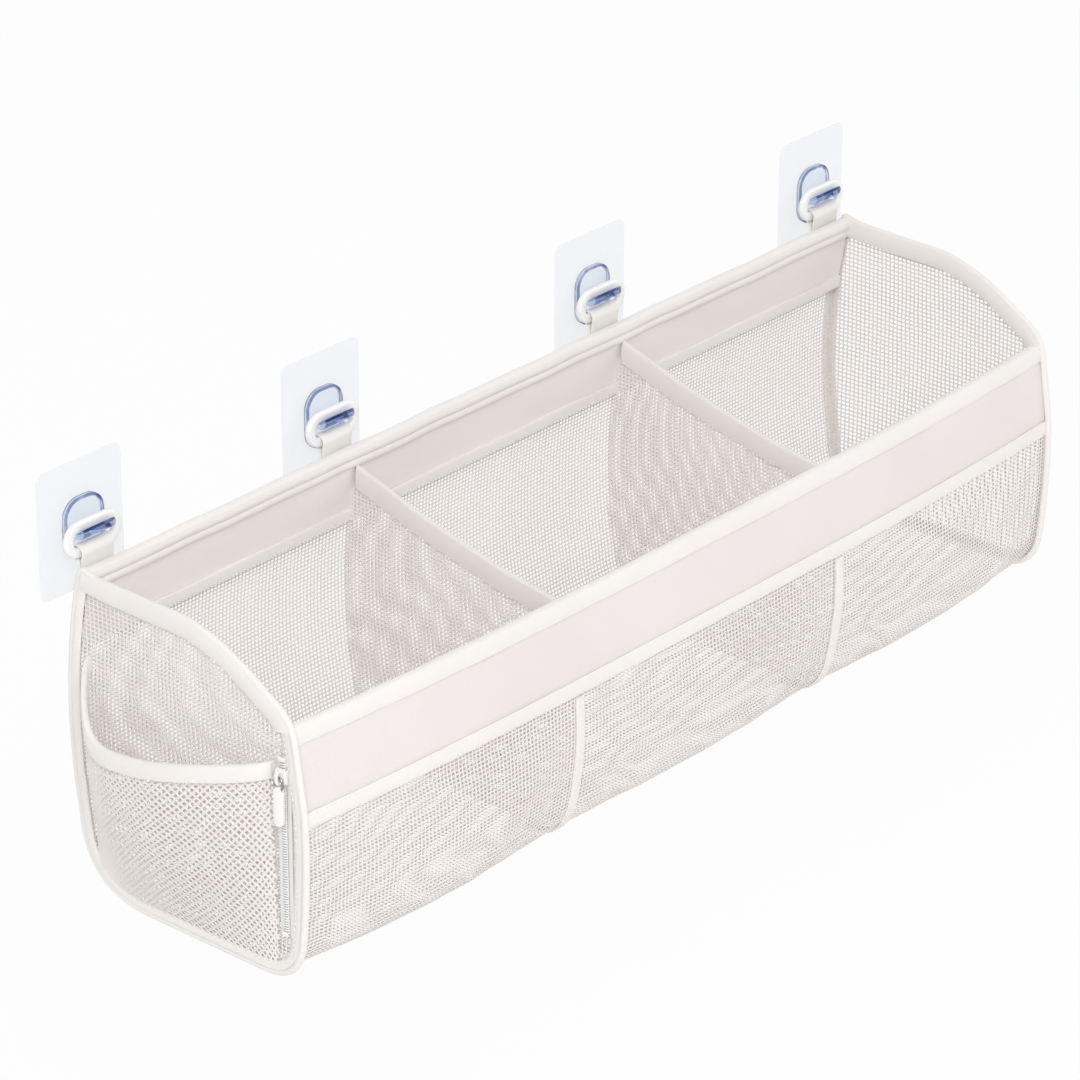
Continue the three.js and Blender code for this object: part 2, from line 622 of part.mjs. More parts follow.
// Dividers with a folded hem on top and a tape over each front seam
const dividerTop = (x) => {
  const back = { y: backMidY(DIVIDER_BACK_Z) - DIVIDER_CLEAR, z: DIVIDER_BACK_Z };
  const front = { y: bandMidY(x, DIVIDER_FRONT_Z) + DIVIDER_CLEAR, z: DIVIDER_FRONT_Z };
  const middle = { y: (back.y + front.y) / 2, z: (back.z + front.z) / 2 - 2 * DIVIDER_DIP };
  return bend(front, middle, back);
};
const dividerOutline = (x) => {
  const inset = MESH_THICKNESS + DIVIDER_SEAM_CLEAR;
  const belly = wrapLines.slice(1, -1).map((t) => wrapPoint(x, t, inset));
  const back = new THREE.Vector2(backMidY(BACK_TAPE.low) - DIVIDER_CLEAR, BACK_TAPE.low);
  const front = new THREE.Vector2(bandMidY(x, FRONT_TAPE.low) + DIVIDER_CLEAR, FRONT_TAPE.low);
  const top = dividerTop(x).getPoints(DIVIDER_STEPS);
  return [back, ...belly.map((point) => new THREE.Vector2(point.y, point.z)), front, ...top];
};
const tapeLines = wrapLines.slice(-1 - DIVIDER_TAPE_ROWS);
DIVIDER_XS.forEach((x, i) => {
  const name = `divider_${i + 1}`;
  addPiece(basket, `${name}_mesh`, net(dividerOutline(x), x), NET);
  const hemStations = dividerTop(x).getPoints(DIVIDER_STEPS).map((point) => ({
    edge: new THREE.Vector3(x, point.x, point.y),
    across: new THREE.Vector3(1, 0, 0),
    down: new THREE.Vector3(0, 0, -1),
  }));
  const hemFold = foldedSection(END_MESH_THICKNESS / 2 + GAP, DIVIDER_HEM, BINDING_WALL);
  addPiece(basket, `${name}_hem`, loft(hemStations, hemFold), FABRIC);
  addPiece(basket, `${name}_front_tape`, sheet(2, DIVIDER_TAPE_ROWS, (u, v, side) => {
    const t = Math.min(tapeLines[Math.round(v * DIVIDER_TAPE_ROWS)], 1 - DIVIDER_TAPE_TOP);
    return wrapPoint(x + (u - 0.5) * DIVIDER_TAPE_WIDTH, t, -DIVIDER_TAPE_LIFT - side * TAPE_THICKNESS);
  }), BINDING);
});

// Outside pocket on the left end
const pocketRim = new THREE.SplineCurve(POCKET_RIM.map(corner));
const pocketPoint = (u, v, inset) => {
  const rim = pocketRim.getPoint(u);
  const low = floorZ(rim.x) + POCKET_SEAM_RISE;
  const lift = Math.sin(Math.PI * u) ** POCKET_FULLNESS * Math.sin(POCKET_BULGE_TURN * v);
  const out = GAP + POCKET_RIM_LIFT * v * v + POCKET_BULGE * lift + inset;
  return new THREE.Vector3(-END_OUTER_X - out, rim.x, THREE.MathUtils.lerp(low, rim.y, v));
};
const pocketLines = gapLines(POCKET_GAPS.along);
const pocketRises = gapLines(POCKET_GAPS.up);
const pocketColumns = pocketLines.length - 1;
const pocketRows = pocketRises.length - 1;
addPiece(
  basket,
  'pocket_mesh',
  sheet(
    pocketColumns,
    pocketRows,
    (u, v, side) => pocketPoint(
      pocketLines[Math.round(u * pocketColumns)],
      pocketRises[Math.round(v * pocketRows)],
      side * MESH_THICKNESS,
    ),
    (column, row) => isOdd(column) && isOdd(row),
  ),
  NET,
);
const pocketStations = pocketLines.map((u) => {
  const edge = pocketPoint(u, 1, MESH_THICKNESS / 2);
  const drop = POCKET_BINDING_WING / (edge.z - floorZ(edge.y) - POCKET_SEAM_RISE);
  const down = pocketPoint(u, 1 - drop, MESH_THICKNESS / 2).sub(edge).normalize();
  return { edge, across: new THREE.Vector3(-down.z, 0, down.x), down };
});
const pocketFold = foldedSection(MESH_THICKNESS / 2 + 2 * GAP, POCKET_BINDING_WING, BINDING_WALL);
addPiece(basket, 'pocket_binding', loft(pocketStations, pocketFold), BINDING);

// Wall hooks: a film pad, and a base with a raised rim and a J arm
const padFrontY = -PAD.thickness;
const hookBackY = padFrontY - GAP;
const hookFrontY = hookBackY - HOOK_BASE.thickness;
const hookFloorTopZ = RING_TOP_BAR_Z - RING_BAR / 2 - GAP;
const lipBackY = hookFrontY - TROUGH_WIDTH;
const lipFrontY = lipBackY - HOOK_LIP;
const hookGeometry = (x) => {
  const centreZ = HOOK_BASE.low + HOOK_BASE.height / 2;
  const outline = roundedOutline(new THREE.Shape(), HOOK_BASE.width, HOOK_BASE.height, HOOK_BASE.corner);
  const base = plate(outline, HOOK_BASE.thickness, hookFrontY).translate(x, 0, centreZ);
  const rimShape = roundedOutline(new THREE.Shape(), HOOK_BASE.width, HOOK_BASE.height, HOOK_BASE.corner);
  const inside = HOOK_RIM.width * 2;
  rimShape.holes.push(roundedOutline(
    new THREE.Path(),
    HOOK_BASE.width - inside,
    HOOK_BASE.height - inside,
    HOOK_BASE.corner - HOOK_RIM.width,
  ));
  const rimDepth = HOOK_RIM.height + HOOK_BASE.thickness / 2;
  const rim = plate(rimShape, rimDepth, hookFrontY - HOOK_RIM.height).translate(x, 0, centreZ);
  const arm = new THREE.Shape();
  const floorLowZ = hookFloorTopZ - HOOK_FLOOR;
  arm.moveTo(hookFrontY + HOOK_BASE.thickness / 2, floorLowZ);
  arm.lineTo(hookFrontY + HOOK_BASE.thickness / 2, hookFloorTopZ);
  arm.lineTo(lipBackY, hookFloorTopZ);
  arm.lineTo(lipBackY, HOOK_LIP_TOP_Z);
  arm.lineTo(lipFrontY + HOOK_LIP / 3, HOOK_LIP_TOP_Z);
  arm.lineTo(lipFrontY, HOOK_LIP_TOP_Z - HOOK_LIP / 3);
  arm.lineTo(lipFrontY, hookFloorTopZ);
  arm.quadraticCurveTo(lipFrontY, floorLowZ, lipFrontY + HOOK_FLOOR, floorLowZ);
  arm.closePath();
  return joined(base, rim, crosswise(arm, HOOK_ARM_WIDTH, x));
};

// Hanging ring with one slot, and the strap folded round its lower bar
const ringGeometry = (x) => {
  const inset = RING.bevel;
  const outline = roundedOutline(
    new THREE.Shape(),
    RING.width - 2 * inset,
    RING.height - 2 * inset,
    RING.height / 2 - inset - ROUND_END_FLAT,
  );
  outline.holes.push(roundedOutline(
    new THREE.Path(),
    RING.slotWidth + 2 * inset,
    RING.slotHeight + 2 * inset,
    RING.slotCorner + inset,
  ));
  const bevel = { bevelEnabled: true, bevelSize: inset, bevelThickness: inset, bevelSegments: 1 };
  const depth = RING.thickness - 2 * inset;
  return plate(outline, depth, RING_Y - depth / 2, bevel).translate(x, 0, RING_Z);
};

// Points of an arc in Y and Z round the ring's lower bar
const barArc = (radius, from, to) =>
  steps(STRAP_ARC_STEPS).map((share) => {
    const turn = THREE.MathUtils.degToRad(THREE.MathUtils.lerp(from, to, share));
    return new THREE.Vector2(RING_Y + radius * Math.cos(turn), RING_LOW_BAR_Z + radius * Math.sin(turn));
  });
const strapGeometry = (x) => {
  const tailFrontY = backEdgeY(STRAP_TAIL.low) + GAP;
  const tailRearY = tailFrontY + 2 * STRAP.ply;
  const outline = new THREE.Shape([
    new THREE.Vector2(tailFrontY, STRAP_TAIL.high),
    new THREE.Vector2(tailFrontY, STRAP_TAIL.low),
    new THREE.Vector2(tailRearY, STRAP_TAIL.low),
    new THREE.Vector2(tailRearY, STRAP_TAIL.high),
    ...barArc(STRAP.loopInner + STRAP.ply, STRAP_ARC.from, STRAP_ARC.to),
  ]);
  const meet = new THREE.Vector2((tailFrontY + tailRearY) / 2, STRAP_TAIL.high + STRAP_MEET_RISE);
  outline.holes.push(new THREE.Path([meet, ...barArc(STRAP.loopInner, STRAP_ARC.from, STRAP_ARC.to)]));
  return crosswise(outline, STRAP.width, x);
};

HOOK_XS.forEach((x, i) => {
  const padShape = roundedOutline(new THREE.Shape(), PAD.width, PAD.height, PAD.corner);
  const padGeometry = plate(padShape, PAD.thickness, padFrontY).translate(x, 0, PAD.low + PAD.height / 2);
  addPiece(wallHooks, `adhesive_pad_${i + 1}`, padGeometry, FILM);
  addPiece(wallHooks, `wall_hook_${i + 1}`, hookGeometry(x), CLEAR);
  addPiece(hangRings, `hang_ring_${i + 1}`, ringGeometry(x), RING_PLASTIC);
  addPiece(basket, `hang_strap_${i + 1}`, strapGeometry(x), WEBBING);
});

// Side zip: two tapes with a coil between them, a stop at each end, the slider and its pull
const zipFaceX = -END_OUTER_X - GAP;
const zipMidZ = (ZIP.low + ZIP.high) / 2;
const zipLength = ZIP.high - ZIP.low;
const coilOuterX = zipFaceX - ZIP.coilHeight;
for (const [name, sign] of [['front', -1], ['rear', 1]]) {
  const tapeY = ZIP_Y + sign * (ZIP.coilWidth / 2 + GAP + ZIP.tapeWidth / 2);
  const tapeX = zipFaceX - ZIP.tapeThickness / 2;
  const tape = box(ZIP.tapeThickness, ZIP.tapeWidth, zipLength, tapeX, tapeY, zipMidZ);
  addPiece(basket, `zip_${name}_tape`, tape, FABRIC);
}
const coilX = zipFaceX - ZIP.coilHeight / 2;
const coil = box(ZIP.coilHeight, ZIP.coilWidth, zipLength, coilX, ZIP_Y, zipMidZ);
addPiece(basket, 'zip_coil', coil, RING_PLASTIC);
const stopHalf = ZIP_STOP.height / 2;
for (const [name, z] of [['bottom', ZIP.low + stopHalf], ['top', ZIP.high - stopHalf]]) {
  const stopX = coilOuterX - GAP - ZIP_STOP.rise / 2;
  const stop = box(ZIP_STOP.rise, ZIP_STOP.width, ZIP_STOP.height, stopX, ZIP_Y, z);
  addPiece(basket, `zip_${name}_stop`, stop, METAL);
}

const sliderRearX = zipFaceX - ZIP.tapeThickness - GAP;
const plateRearX = coilOuterX - GAP;
const plateFrontX = plateRearX - SLIDER.plate;
const bailFrontX = plateFrontX - BAIL.hole - BAIL.wire;
const pullX = plateFrontX - BAIL.hole / 2;
const sliderBody = box(
  sliderRearX - plateFrontX,
  SLIDER.width,
  SLIDER.length,
  (sliderRearX + plateFrontX) / 2,
  ZIP_Y,
  SLIDER.z,
);
const channelDepth = sliderRearX - plateRearX;
const channel = box(
  2 * channelDepth,
  ZIP.coilWidth + 2 * GAP,
  2 * SLIDER.length,
  plateRearX + channelDepth,
  ZIP_Y,
  SLIDER.z,
);
const bail = box(
  plateFrontX - bailFrontX + SLIDER.plate / 2,
  BAIL.width,
  BAIL.reach,
  (plateFrontX + bailFrontX + SLIDER.plate / 2) / 2,
  ZIP_Y,
  SLIDER.z,
);
const bailHole = box(BAIL.hole, 2 * BAIL.width, BAIL.reach - 2 * BAIL.wire, pullX, ZIP_Y, SLIDER.z);
addPiece(zipPull, 'zip_slider', cut(joined(sliderBody, bail), channel, bailHole), METAL);

// Outlines of the pull are drawn in Y and Z about the slider's bail
const pullRing = roundedOutline(new THREE.Shape(), PULL_RING.width, PULL_RING.height, 2 * PULL_RING.wire);
pullRing.holes.push(roundedOutline(
  new THREE.Path(),
  PULL_RING.width - 2 * PULL_RING.wire,
  PULL_RING.height - 2 * PULL_RING.wire,
  PULL_RING.wire,
));
const ringCentreZ = SLIDER.z + PULL_RING.wire / 2 - PULL_RING.height / 2;
addPiece(
  zipPull,
  'pull_ring',
  crosswise(pullRing, PULL_RING.wire, pullX).translate(0, ZIP_Y, ringCentreZ),
  METAL,
);
const eyeZ = ringCentreZ - PULL_RING.height / 2 + PULL_RING.wire / 2;
const tabTopZ = eyeZ + PULL_TAB.eye / 2 + PULL_TAB.wall;
const tabCorner = PULL_TAB.width / 2 - ROUND_END_FLAT;
const tabShape = roundedOutline(new THREE.Shape(), PULL_TAB.width, PULL_TAB.length, tabCorner);
const tabMidZ = tabTopZ - PULL_TAB.length / 2;
const tabBody = crosswise(tabShape, PULL_TAB.thickness, pullX).translate(0, ZIP_Y, tabMidZ);
const tabEye = box(PULL_TAB.eye, 2 * PULL_TAB.width, PULL_TAB.eye, pullX, ZIP_Y, eyeZ);
addPiece(zipPull, 'pull_tab', cut(tabBody, tabEye), RING_PLASTIC);

export default organizer;
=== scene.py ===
"""Looks of a long wall-hung bath organizer of net cloth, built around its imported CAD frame.

Sizes are millimetres until a mesh is made and metres after that.
X runs along the wall, +Y points into the wall, +Z is up, and the wall is the plane y = 0.
"""

import logging
import math
from abc import ABC, abstractmethod
from collections.abc import Callable
from dataclasses import dataclass, replace
from enum import Enum
from functools import cache, cached_property

import bmesh
import bpy
import numpy as np
from bpy.types import Material, Mesh, Node, NodeSocket, NodeTree, Object
from mathutils import Matrix, Vector


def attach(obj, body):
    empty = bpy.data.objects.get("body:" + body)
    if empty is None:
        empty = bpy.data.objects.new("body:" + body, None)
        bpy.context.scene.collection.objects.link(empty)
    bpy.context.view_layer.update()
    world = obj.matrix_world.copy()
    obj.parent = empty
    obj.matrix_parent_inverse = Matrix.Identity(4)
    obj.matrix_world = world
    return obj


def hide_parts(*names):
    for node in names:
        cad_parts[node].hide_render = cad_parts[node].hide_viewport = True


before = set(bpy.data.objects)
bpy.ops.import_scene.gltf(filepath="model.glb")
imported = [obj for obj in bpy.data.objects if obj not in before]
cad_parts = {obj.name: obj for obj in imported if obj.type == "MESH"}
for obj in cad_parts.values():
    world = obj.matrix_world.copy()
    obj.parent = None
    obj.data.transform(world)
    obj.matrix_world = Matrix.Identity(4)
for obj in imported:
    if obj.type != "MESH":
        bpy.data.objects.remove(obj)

logging.basicConfig(level=logging.INFO, format="%(name)s: %(message)s")
LOG = logging.getLogger("organizer")

Array = np.ndarray
Pair = tuple[float, float]
Color = tuple[float, float, float]
Strand = tuple[Array, Array, Array]

MM = 0.001
CLOTH_MAP = "cloth"
NET_MAP = "OFBake"
ALONG, INWARD, UP = np.eye(3)


class Body(Enum):
    """CAD bodies that pieces ride on."""

    HOOKS = "wall_hooks"
    RINGS = "hang_rings"
    BASKET = "basket"
    SLIDER = "zip_slider"
    PULL = "zip_pull"


class Side(Enum):
    """The two ends of the basket, by the sign of X."""

    LEFT = -1
    RIGHT = 1


class Hold(Enum):
    """How a sheet of cloth is held."""

    HUNG = "hung"
    FOLDED = "folded"
    STRETCHED = "stretched"


class Change(Enum):
    """What a second solid does to a piece."""

    JOIN = "UNION"
    CUT = "DIFFERENCE"


# Shader nodes

# Socket numbers of a Mix node that blends colours
MIX_SHARE = 0
MIX_FIRST = 6
MIX_SECOND = 7
MIX_RESULT = 2

CLOUD_SPAN = (0.35, 0.7)
CLOUD_DETAIL = 3.0
GRAIN_DETAIL = 4.0
EDGE_MASK_DETAIL = 5.0


def place(tree: NodeTree, kind: str, inputs: dict | None = None, **settings: object) -> Node:
    """Adds a node to a tree.

    Args:
        tree: The node tree.
        kind: The node's type name.
        inputs: Values for its sockets by name or number; a socket as the value is linked.
        settings: Attributes of the node itself.

    Returns:
        The new node.
    """
    node = tree.nodes.new(kind)
    for name, value in settings.items():
        setattr(node, name, value)
    for key, value in (inputs or {}).items():
        if isinstance(value, NodeSocket):
            tree.links.new(value, node.inputs[key])
        else:
            node.inputs[key].default_value = value
    return node


def calc(tree: NodeTree, operation: str, *values: float | NodeSocket) -> NodeSocket:
    """Result socket of a Math node on numbers or sockets."""
    return place(tree, "ShaderNodeMath", dict(enumerate(values)), operation=operation).outputs[0]


def ramp(tree: NodeTree, value: NodeSocket, span: tuple, to: tuple = (0.0, 1.0)) -> NodeSocket:
    """Result socket of a value carried from one span over to another, and held inside it."""
    inputs = {"Value": value, "From Min": span[0], "From Max": span[1], "To Min": to[0], "To Max": to[1]}
    return place(tree, "ShaderNodeMapRange", inputs).outputs["Result"]


def blended(
    tree: NodeTree,
    share: float | NodeSocket,
    first: NodeSocket,
    second: NodeSocket | tuple,
    kind: str = "MIX",
) -> NodeSocket:
    """Result socket of two colours blended by the share of the second."""
    inputs = {MIX_SHARE: share, MIX_FIRST: first, MIX_SECOND: second}
    return place(tree, "ShaderNodeMix", inputs, data_type="RGBA", blend_type=kind).outputs[MIX_RESULT]


def noise(tree: NodeTree, scale: NodeSocket, detail: float) -> NodeSocket:
    """Lays a noise that is fixed to the object.

    Args:
        tree: The node tree.
        scale: The noise's scale.
        detail: Its detail.

    Returns:
        The value's socket.
    """
    where = place(tree, "ShaderNodeTexCoord").outputs["Object"]
    inputs = {"Vector": where, "Scale": scale, "Detail": detail}
    return place(tree, "ShaderNodeTexNoise", inputs).outputs["Fac"]


def new_group(name: str, inputs: dict[str, str], outputs: dict[str, str]) -> tuple[NodeTree, Node, Node]:
    """Makes an empty shader node group.

    Args:
        name: The group's name.
        inputs: Socket types by input name.
        outputs: Socket types by output name.

    Returns:
        The tree, its group input node and its group output node.
    """
    tree = bpy.data.node_groups.new(name, "ShaderNodeTree")
    for way, sockets in (("INPUT", inputs), ("OUTPUT", outputs)):
        for socket, kind in sockets.items():
            tree.interface.new_socket(socket, in_out=way, socket_type=f"NodeSocket{kind}")
    return tree, tree.nodes.new("NodeGroupInput"), tree.nodes.new("NodeGroupOutput")


@cache
def thread_weave() -> NodeTree:
    """Makes the group for the raised threads of a plain weave, from cloth coordinates in metres.

    Returns:
        The group, made once.
    """
    inputs = {"Vector": "Vector", "Warp": "Float", "Weft": "Float"}
    tree, given, made = new_group("thread_weave", inputs, {"Height": "Float"})
    cloth = place(tree, "ShaderNodeSeparateXYZ", {"Vector": given.outputs["Vector"]})
    waves = []
    for axis, count in (("X", "Warp"), ("Y", "Weft")):
        turns = calc(tree, "MULTIPLY", cloth.outputs[axis], given.outputs[count])
        waves.append(calc(tree, "SINE", calc(tree, "MULTIPLY", turns, math.tau)))
    checks = calc(tree, "MULTIPLY", *waves)
    tree.links.new(calc(tree, "MULTIPLY_ADD", checks, 0.5, 0.5), made.inputs["Height"])
    return tree


@cache
def soft_tone() -> NodeTree:
    """Makes the group for a colour that drifts towards a second one in soft clouds.

    Returns:
        The group, made once.
    """
    inputs = {"Color": "Color", "Drift": "Color", "Scale": "Float", "Amount": "Float"}
    tree, given, made = new_group("soft_tone", inputs, {"Color": "Color"})
    cloud = noise(tree, given.outputs["Scale"], CLOUD_DETAIL)
    share = ramp(tree, cloud, CLOUD_SPAN, (0.0, given.outputs["Amount"]))
    tone = blended(tree, share, given.outputs["Color"], given.outputs["Drift"])
    tree.links.new(tone, made.inputs["Color"])
    return tree


@cache
def fine_grain() -> NodeTree:
    """Makes the group for small grain, as a height and as a roughness about a middle value.

    Returns:
        The group, made once.
    """
    inputs = {"Scale": "Float", "Roughness": "Float", "Spread": "Float"}
    tree, given, made = new_group("fine_grain", inputs, {"Height": "Float", "Roughness": "Float"})
    grain = noise(tree, given.outputs["Scale"], GRAIN_DETAIL)
    away = calc(tree, "SUBTRACT", grain, 0.5)
    rough = calc(tree, "MULTIPLY_ADD", away, given.outputs["Spread"], given.outputs["Roughness"])
    tree.links.new(grain, made.inputs["Height"])
    tree.links.new(rough, made.inputs["Roughness"])
    return tree


@cache
def edge_wear_and_shade() -> NodeTree:
    """Makes the group for a mask of raised edges, broken up by grain: rubbed wear on hard finishes, painted
    shade on clear ones.

    Returns:
        The group, made once.
    """
    inputs = {"Scale": "Float", "Amount": "Float", "Low": "Float", "High": "Float"}
    tree, given, made = new_group("edge_wear_and_shade", inputs, {"Mask": "Float"})
    sharp = place(tree, "ShaderNodeNewGeometry").outputs["Pointiness"]
    edge = ramp(tree, sharp, (given.outputs["Low"], given.outputs["High"]))
    broken = calc(tree, "MULTIPLY", edge, noise(tree, given.outputs["Scale"], EDGE_MASK_DETAIL))
    tree.links.new(calc(tree, "MULTIPLY", broken, given.outputs["Amount"]), made.inputs["Mask"])
    return tree


def use(tree: NodeTree, group: NodeTree, inputs: dict) -> Node:
    """Places a shader node group in a material's tree."""
    return place(tree, "ShaderNodeGroup", inputs, node_tree=group)


def rgba(color: Color) -> tuple[float, float, float, float]:
    """A colour with full alpha."""
    return (*color, 1.0)


def clouded(tree: NodeTree, color: Color, drift: Color, scale: float, amount: float) -> NodeSocket:
    """Colour socket of a tone that drifts in soft clouds."""
    inputs = {"Color": rgba(color), "Drift": rgba(drift), "Scale": scale, "Amount": amount}
    return use(tree, soft_tone(), inputs).outputs["Color"]


def wear_and_shade_edges(tree: NodeTree, scale: float, amount: float, span: Pair) -> NodeSocket:
    """Mask socket of raised edges, broken up by grain; hard finishes use it for rubbed wear and clear ones
    for painted shade.
    """
    inputs = {"Scale": scale, "Amount": amount, "Low": span[0], "High": span[1]}
    return use(tree, edge_wear_and_shade(), inputs).outputs["Mask"]


def new_material(name: str, sockets: dict[str, float]) -> tuple[Material, NodeTree, Node]:
    """Makes a material with one Principled shader.

    Args:
        name: The material's name.
        sockets: Constant values of the shader's own sockets.

    Returns:
        The material, its node tree and the shader node.
    """
    material = bpy.data.materials.new(name)
    material.use_nodes = True
    shader = material.node_tree.nodes["Principled BSDF"]
    for socket, value in sockets.items():
        shader.inputs[socket].default_value = value
    return material, material.node_tree, shader


# Finishes


@dataclass(frozen=True, kw_only=True)
class Finish:
    """What a piece is made of: a colour that drifts in soft clouds, and a grain."""

    name: str
    slot: str
    color: Color
    drift: Color
    cloud: float
    amount: float
    roughness: float
    grain: float
    spread: float
    depth: float

    @cache
    def material(self) -> Material:
        """Makes the finish's material.

        Returns:
            The material, made once.
        """
        made, tree, shader = new_material(self.name, self.constants())
        tone = clouded(tree, self.color, self.drift, self.cloud, self.amount)
        inputs = {"Scale": self.grain, "Roughness": self.roughness, "Spread": self.spread}
        grain = use(tree, fine_grain(), inputs)
        color, height = self.surface(tree, tone, grain.outputs["Height"])
        relief = {"Height": height, "Distance": self.depth * MM, "Strength": 1.0}
        bump = place(tree, "ShaderNodeBump", relief)
        tree.links.new(color, shader.inputs["Base Color"])
        tree.links.new(grain.outputs["Roughness"], shader.inputs["Roughness"])
        tree.links.new(bump.outputs["Normal"], shader.inputs["Normal"])
        return made

    def constants(self) -> dict[str, float]:
        """Constant values of the shader's own sockets."""
        return {}

    def surface(self, tree: NodeTree, tone: NodeSocket, grain: NodeSocket) -> tuple[NodeSocket, NodeSocket]:
        """Colour and height of the surface: the plain tone and grain."""
        return tone, grain


@dataclass(frozen=True, kw_only=True)
class SoftFinish(Finish):
    """Cloth or yarn with a soft sheen."""

    sheen: float
    sheen_roughness: float

    def constants(self) -> dict[str, float]:
        """The sheen."""
        return {"Sheen Weight": self.sheen, "Sheen Roughness": self.sheen_roughness}


@dataclass(frozen=True, kw_only=True)
class ClothFinish(SoftFinish):
    """A woven cloth with raised threads."""

    warp: float
    weft: float
    cloud: float = 9.0
    amount: float = 0.6
    roughness: float = 0.82
    grain: float = 900.0
    spread: float = 0.2
    depth: float = 0.12
    sheen: float = 0.25
    sheen_roughness: float = 0.4
    # Share of the colour left between the threads: painted shade
    painted_thread_shade: float = 0.93

    def surface(self, tree: NodeTree, tone: NodeSocket, grain: NodeSocket) -> tuple[NodeSocket, NodeSocket]:
        """Lays threads over the tone and the grain.

        Args:
            tree: The material's node tree.
            tone: The clouded colour.
            grain: Height of the grain.

        Returns:
            The colour, with shade painted between the threads, and the height of threads and grain.
        """
        where = place(tree, "ShaderNodeUVMap", uv_map=CLOTH_MAP).outputs["UV"]
        inputs = {"Vector": where, "Warp": self.warp, "Weft": self.weft}
        weave = use(tree, thread_weave(), inputs).outputs["Height"]
        shade = ramp(tree, weave, (0.0, 1.0), (self.painted_thread_shade, 1.0))
        return blended(tree, 1.0, tone, shade, "MULTIPLY"), calc(tree, "ADD", weave, grain)


@dataclass(frozen=True, kw_only=True)
class YarnFinish(SoftFinish):
    """Yarn of a net or a seam, with fibres as grain."""

    cloud: float = 14.0
    amount: float = 0.7
    roughness: float = 0.7
    grain: float = 1600.0
    spread: float = 0.25
    depth: float = 0.15
    sheen: float = 0.2
    sheen_roughness: float = 0.35


@dataclass(frozen=True, kw_only=True)
class HardFinish(Finish):
    """Moulded plastic, board, enamel or plated metal, with rubbed edges."""

    worn: Color
    cloud: float = 60.0
    amount: float = 0.6
    grain: float = 700.0
    spread: float = 0.15
    depth: float = 0.03
    metallic: float = 0.0
    coat: float = 0.0
    wear_scale: float = 900.0
    wear_amount: float = 0.6
    wear_span: Pair = (0.52, 0.62)

    def constants(self) -> dict[str, float]:
        """The metal and the coat."""
        return {"Metallic": self.metallic, "Coat Weight": self.coat}

    def surface(self, tree: NodeTree, tone: NodeSocket, grain: NodeSocket) -> tuple[NodeSocket, NodeSocket]:
        """The tone, rubbed at raised edges, and the grain."""
        wear = wear_and_shade_edges(tree, self.wear_scale, self.wear_amount, self.wear_span)
        return blended(tree, wear, tone, rgba(self.worn)), grain


@dataclass(frozen=True, kw_only=True)
class ClearFinish(Finish):
    """Clear moulded plastic or film, with dark refraction painted towards its edges."""

    # Colour of the painted dark refraction on slanting faces and raised rims
    edge: Color
    transmission: float
    alpha: float = 1.0
    ior: float = 1.45
    deep: Color = (1.0, 1.0, 1.0)
    density: float = 0.0
    cloud: float = 45.0
    amount: float = 0.8
    grain: float = 320.0
    spread: float = 0.06
    depth: float = 0.01
    shade_slant_blend: float = 0.5
    shade_slant_span: Pair = (0.6, 0.95)
    shade_rim_scale: float = 120.0
    shade_rim_amount: float = 2.0
    shade_rim_span: Pair = (0.505, 0.55)

    def constants(self) -> dict[str, float]:
        """How light passes."""
        return {"Transmission Weight": self.transmission, "IOR": self.ior, "Alpha": self.alpha}

    def surface(self, tree: NodeTree, tone: NodeSocket, grain: NodeSocket) -> tuple[NodeSocket, NodeSocket]:
        """Paints dark refraction on slanting faces and raised rims, and tints thick places where the finish
        has a density.

        Args:
            tree: The material's node tree.
            tone: The clouded colour.
            grain: Height of the grain.

        Returns:
            The colour with its painted dark refraction, and the grain.
        """
        # Painted dark refraction: faces that slant from view and raised rims take the edge colour
        slant = place(tree, "ShaderNodeLayerWeight", {"Blend": self.shade_slant_blend}).outputs["Facing"]
        rim = wear_and_shade_edges(tree, self.shade_rim_scale, self.shade_rim_amount, self.shade_rim_span)
        share = calc(tree, "MAXIMUM", ramp(tree, slant, self.shade_slant_span), rim)
        if self.density:
            inside = {"Color": rgba(self.deep), "Density": self.density}
            volume = place(tree, "ShaderNodeVolumeAbsorption", inside).outputs["Volume"]
            tree.links.new(volume, tree.nodes["Material Output"].inputs["Volume"])
        return blended(tree, share, tone, rgba(self.edge)), grain


FABRIC = ClothFinish(
    name="white_fabric",
    slot="woven_fabric",
    color=(0.86, 0.808, 0.795),
    drift=(0.82, 0.76, 0.745),
    warp=1100.0,
    weft=1000.0,
)
# A lighter copy of the fabric for the back panel's inner face: painted light that makes up for the shade
# inside the basket
PAINTED_LIGHT_FABRIC = replace(FABRIC, name="fabric_with_painted_light", color=(0.95, 0.897, 0.88), drift=(0.91, 0.85, 0.83))
HEM_FABRIC = replace(FABRIC, name="hem_fabric", color=(0.865, 0.82, 0.795), drift=(0.815, 0.765, 0.74))
ZIP_CLOTH = replace(
    FABRIC,
    name="zip_tape_cloth",
    color=(0.89, 0.87, 0.84),
    drift=(0.83, 0.80, 0.77),
    warp=1800.0,
    weft=1500.0,
)
TAPE = ClothFinish(
    name="binding_tape",
    slot="binding_tape",
    color=(0.93, 0.897, 0.873),
    drift=(0.885, 0.85, 0.82),
    warp=900.0,
    weft=1500.0,
    depth=0.1,
)
WEBBING = ClothFinish(
    name="strap_webbing",
    slot="webbing",
    color=(0.93, 0.91, 0.875),
    drift=(0.89, 0.865, 0.825),
    warp=800.0,
    weft=1100.0,
)
NET = YarnFinish(name="net_yarn", slot="mesh_net", color=(0.84, 0.80, 0.775), drift=(0.78, 0.735, 0.71))
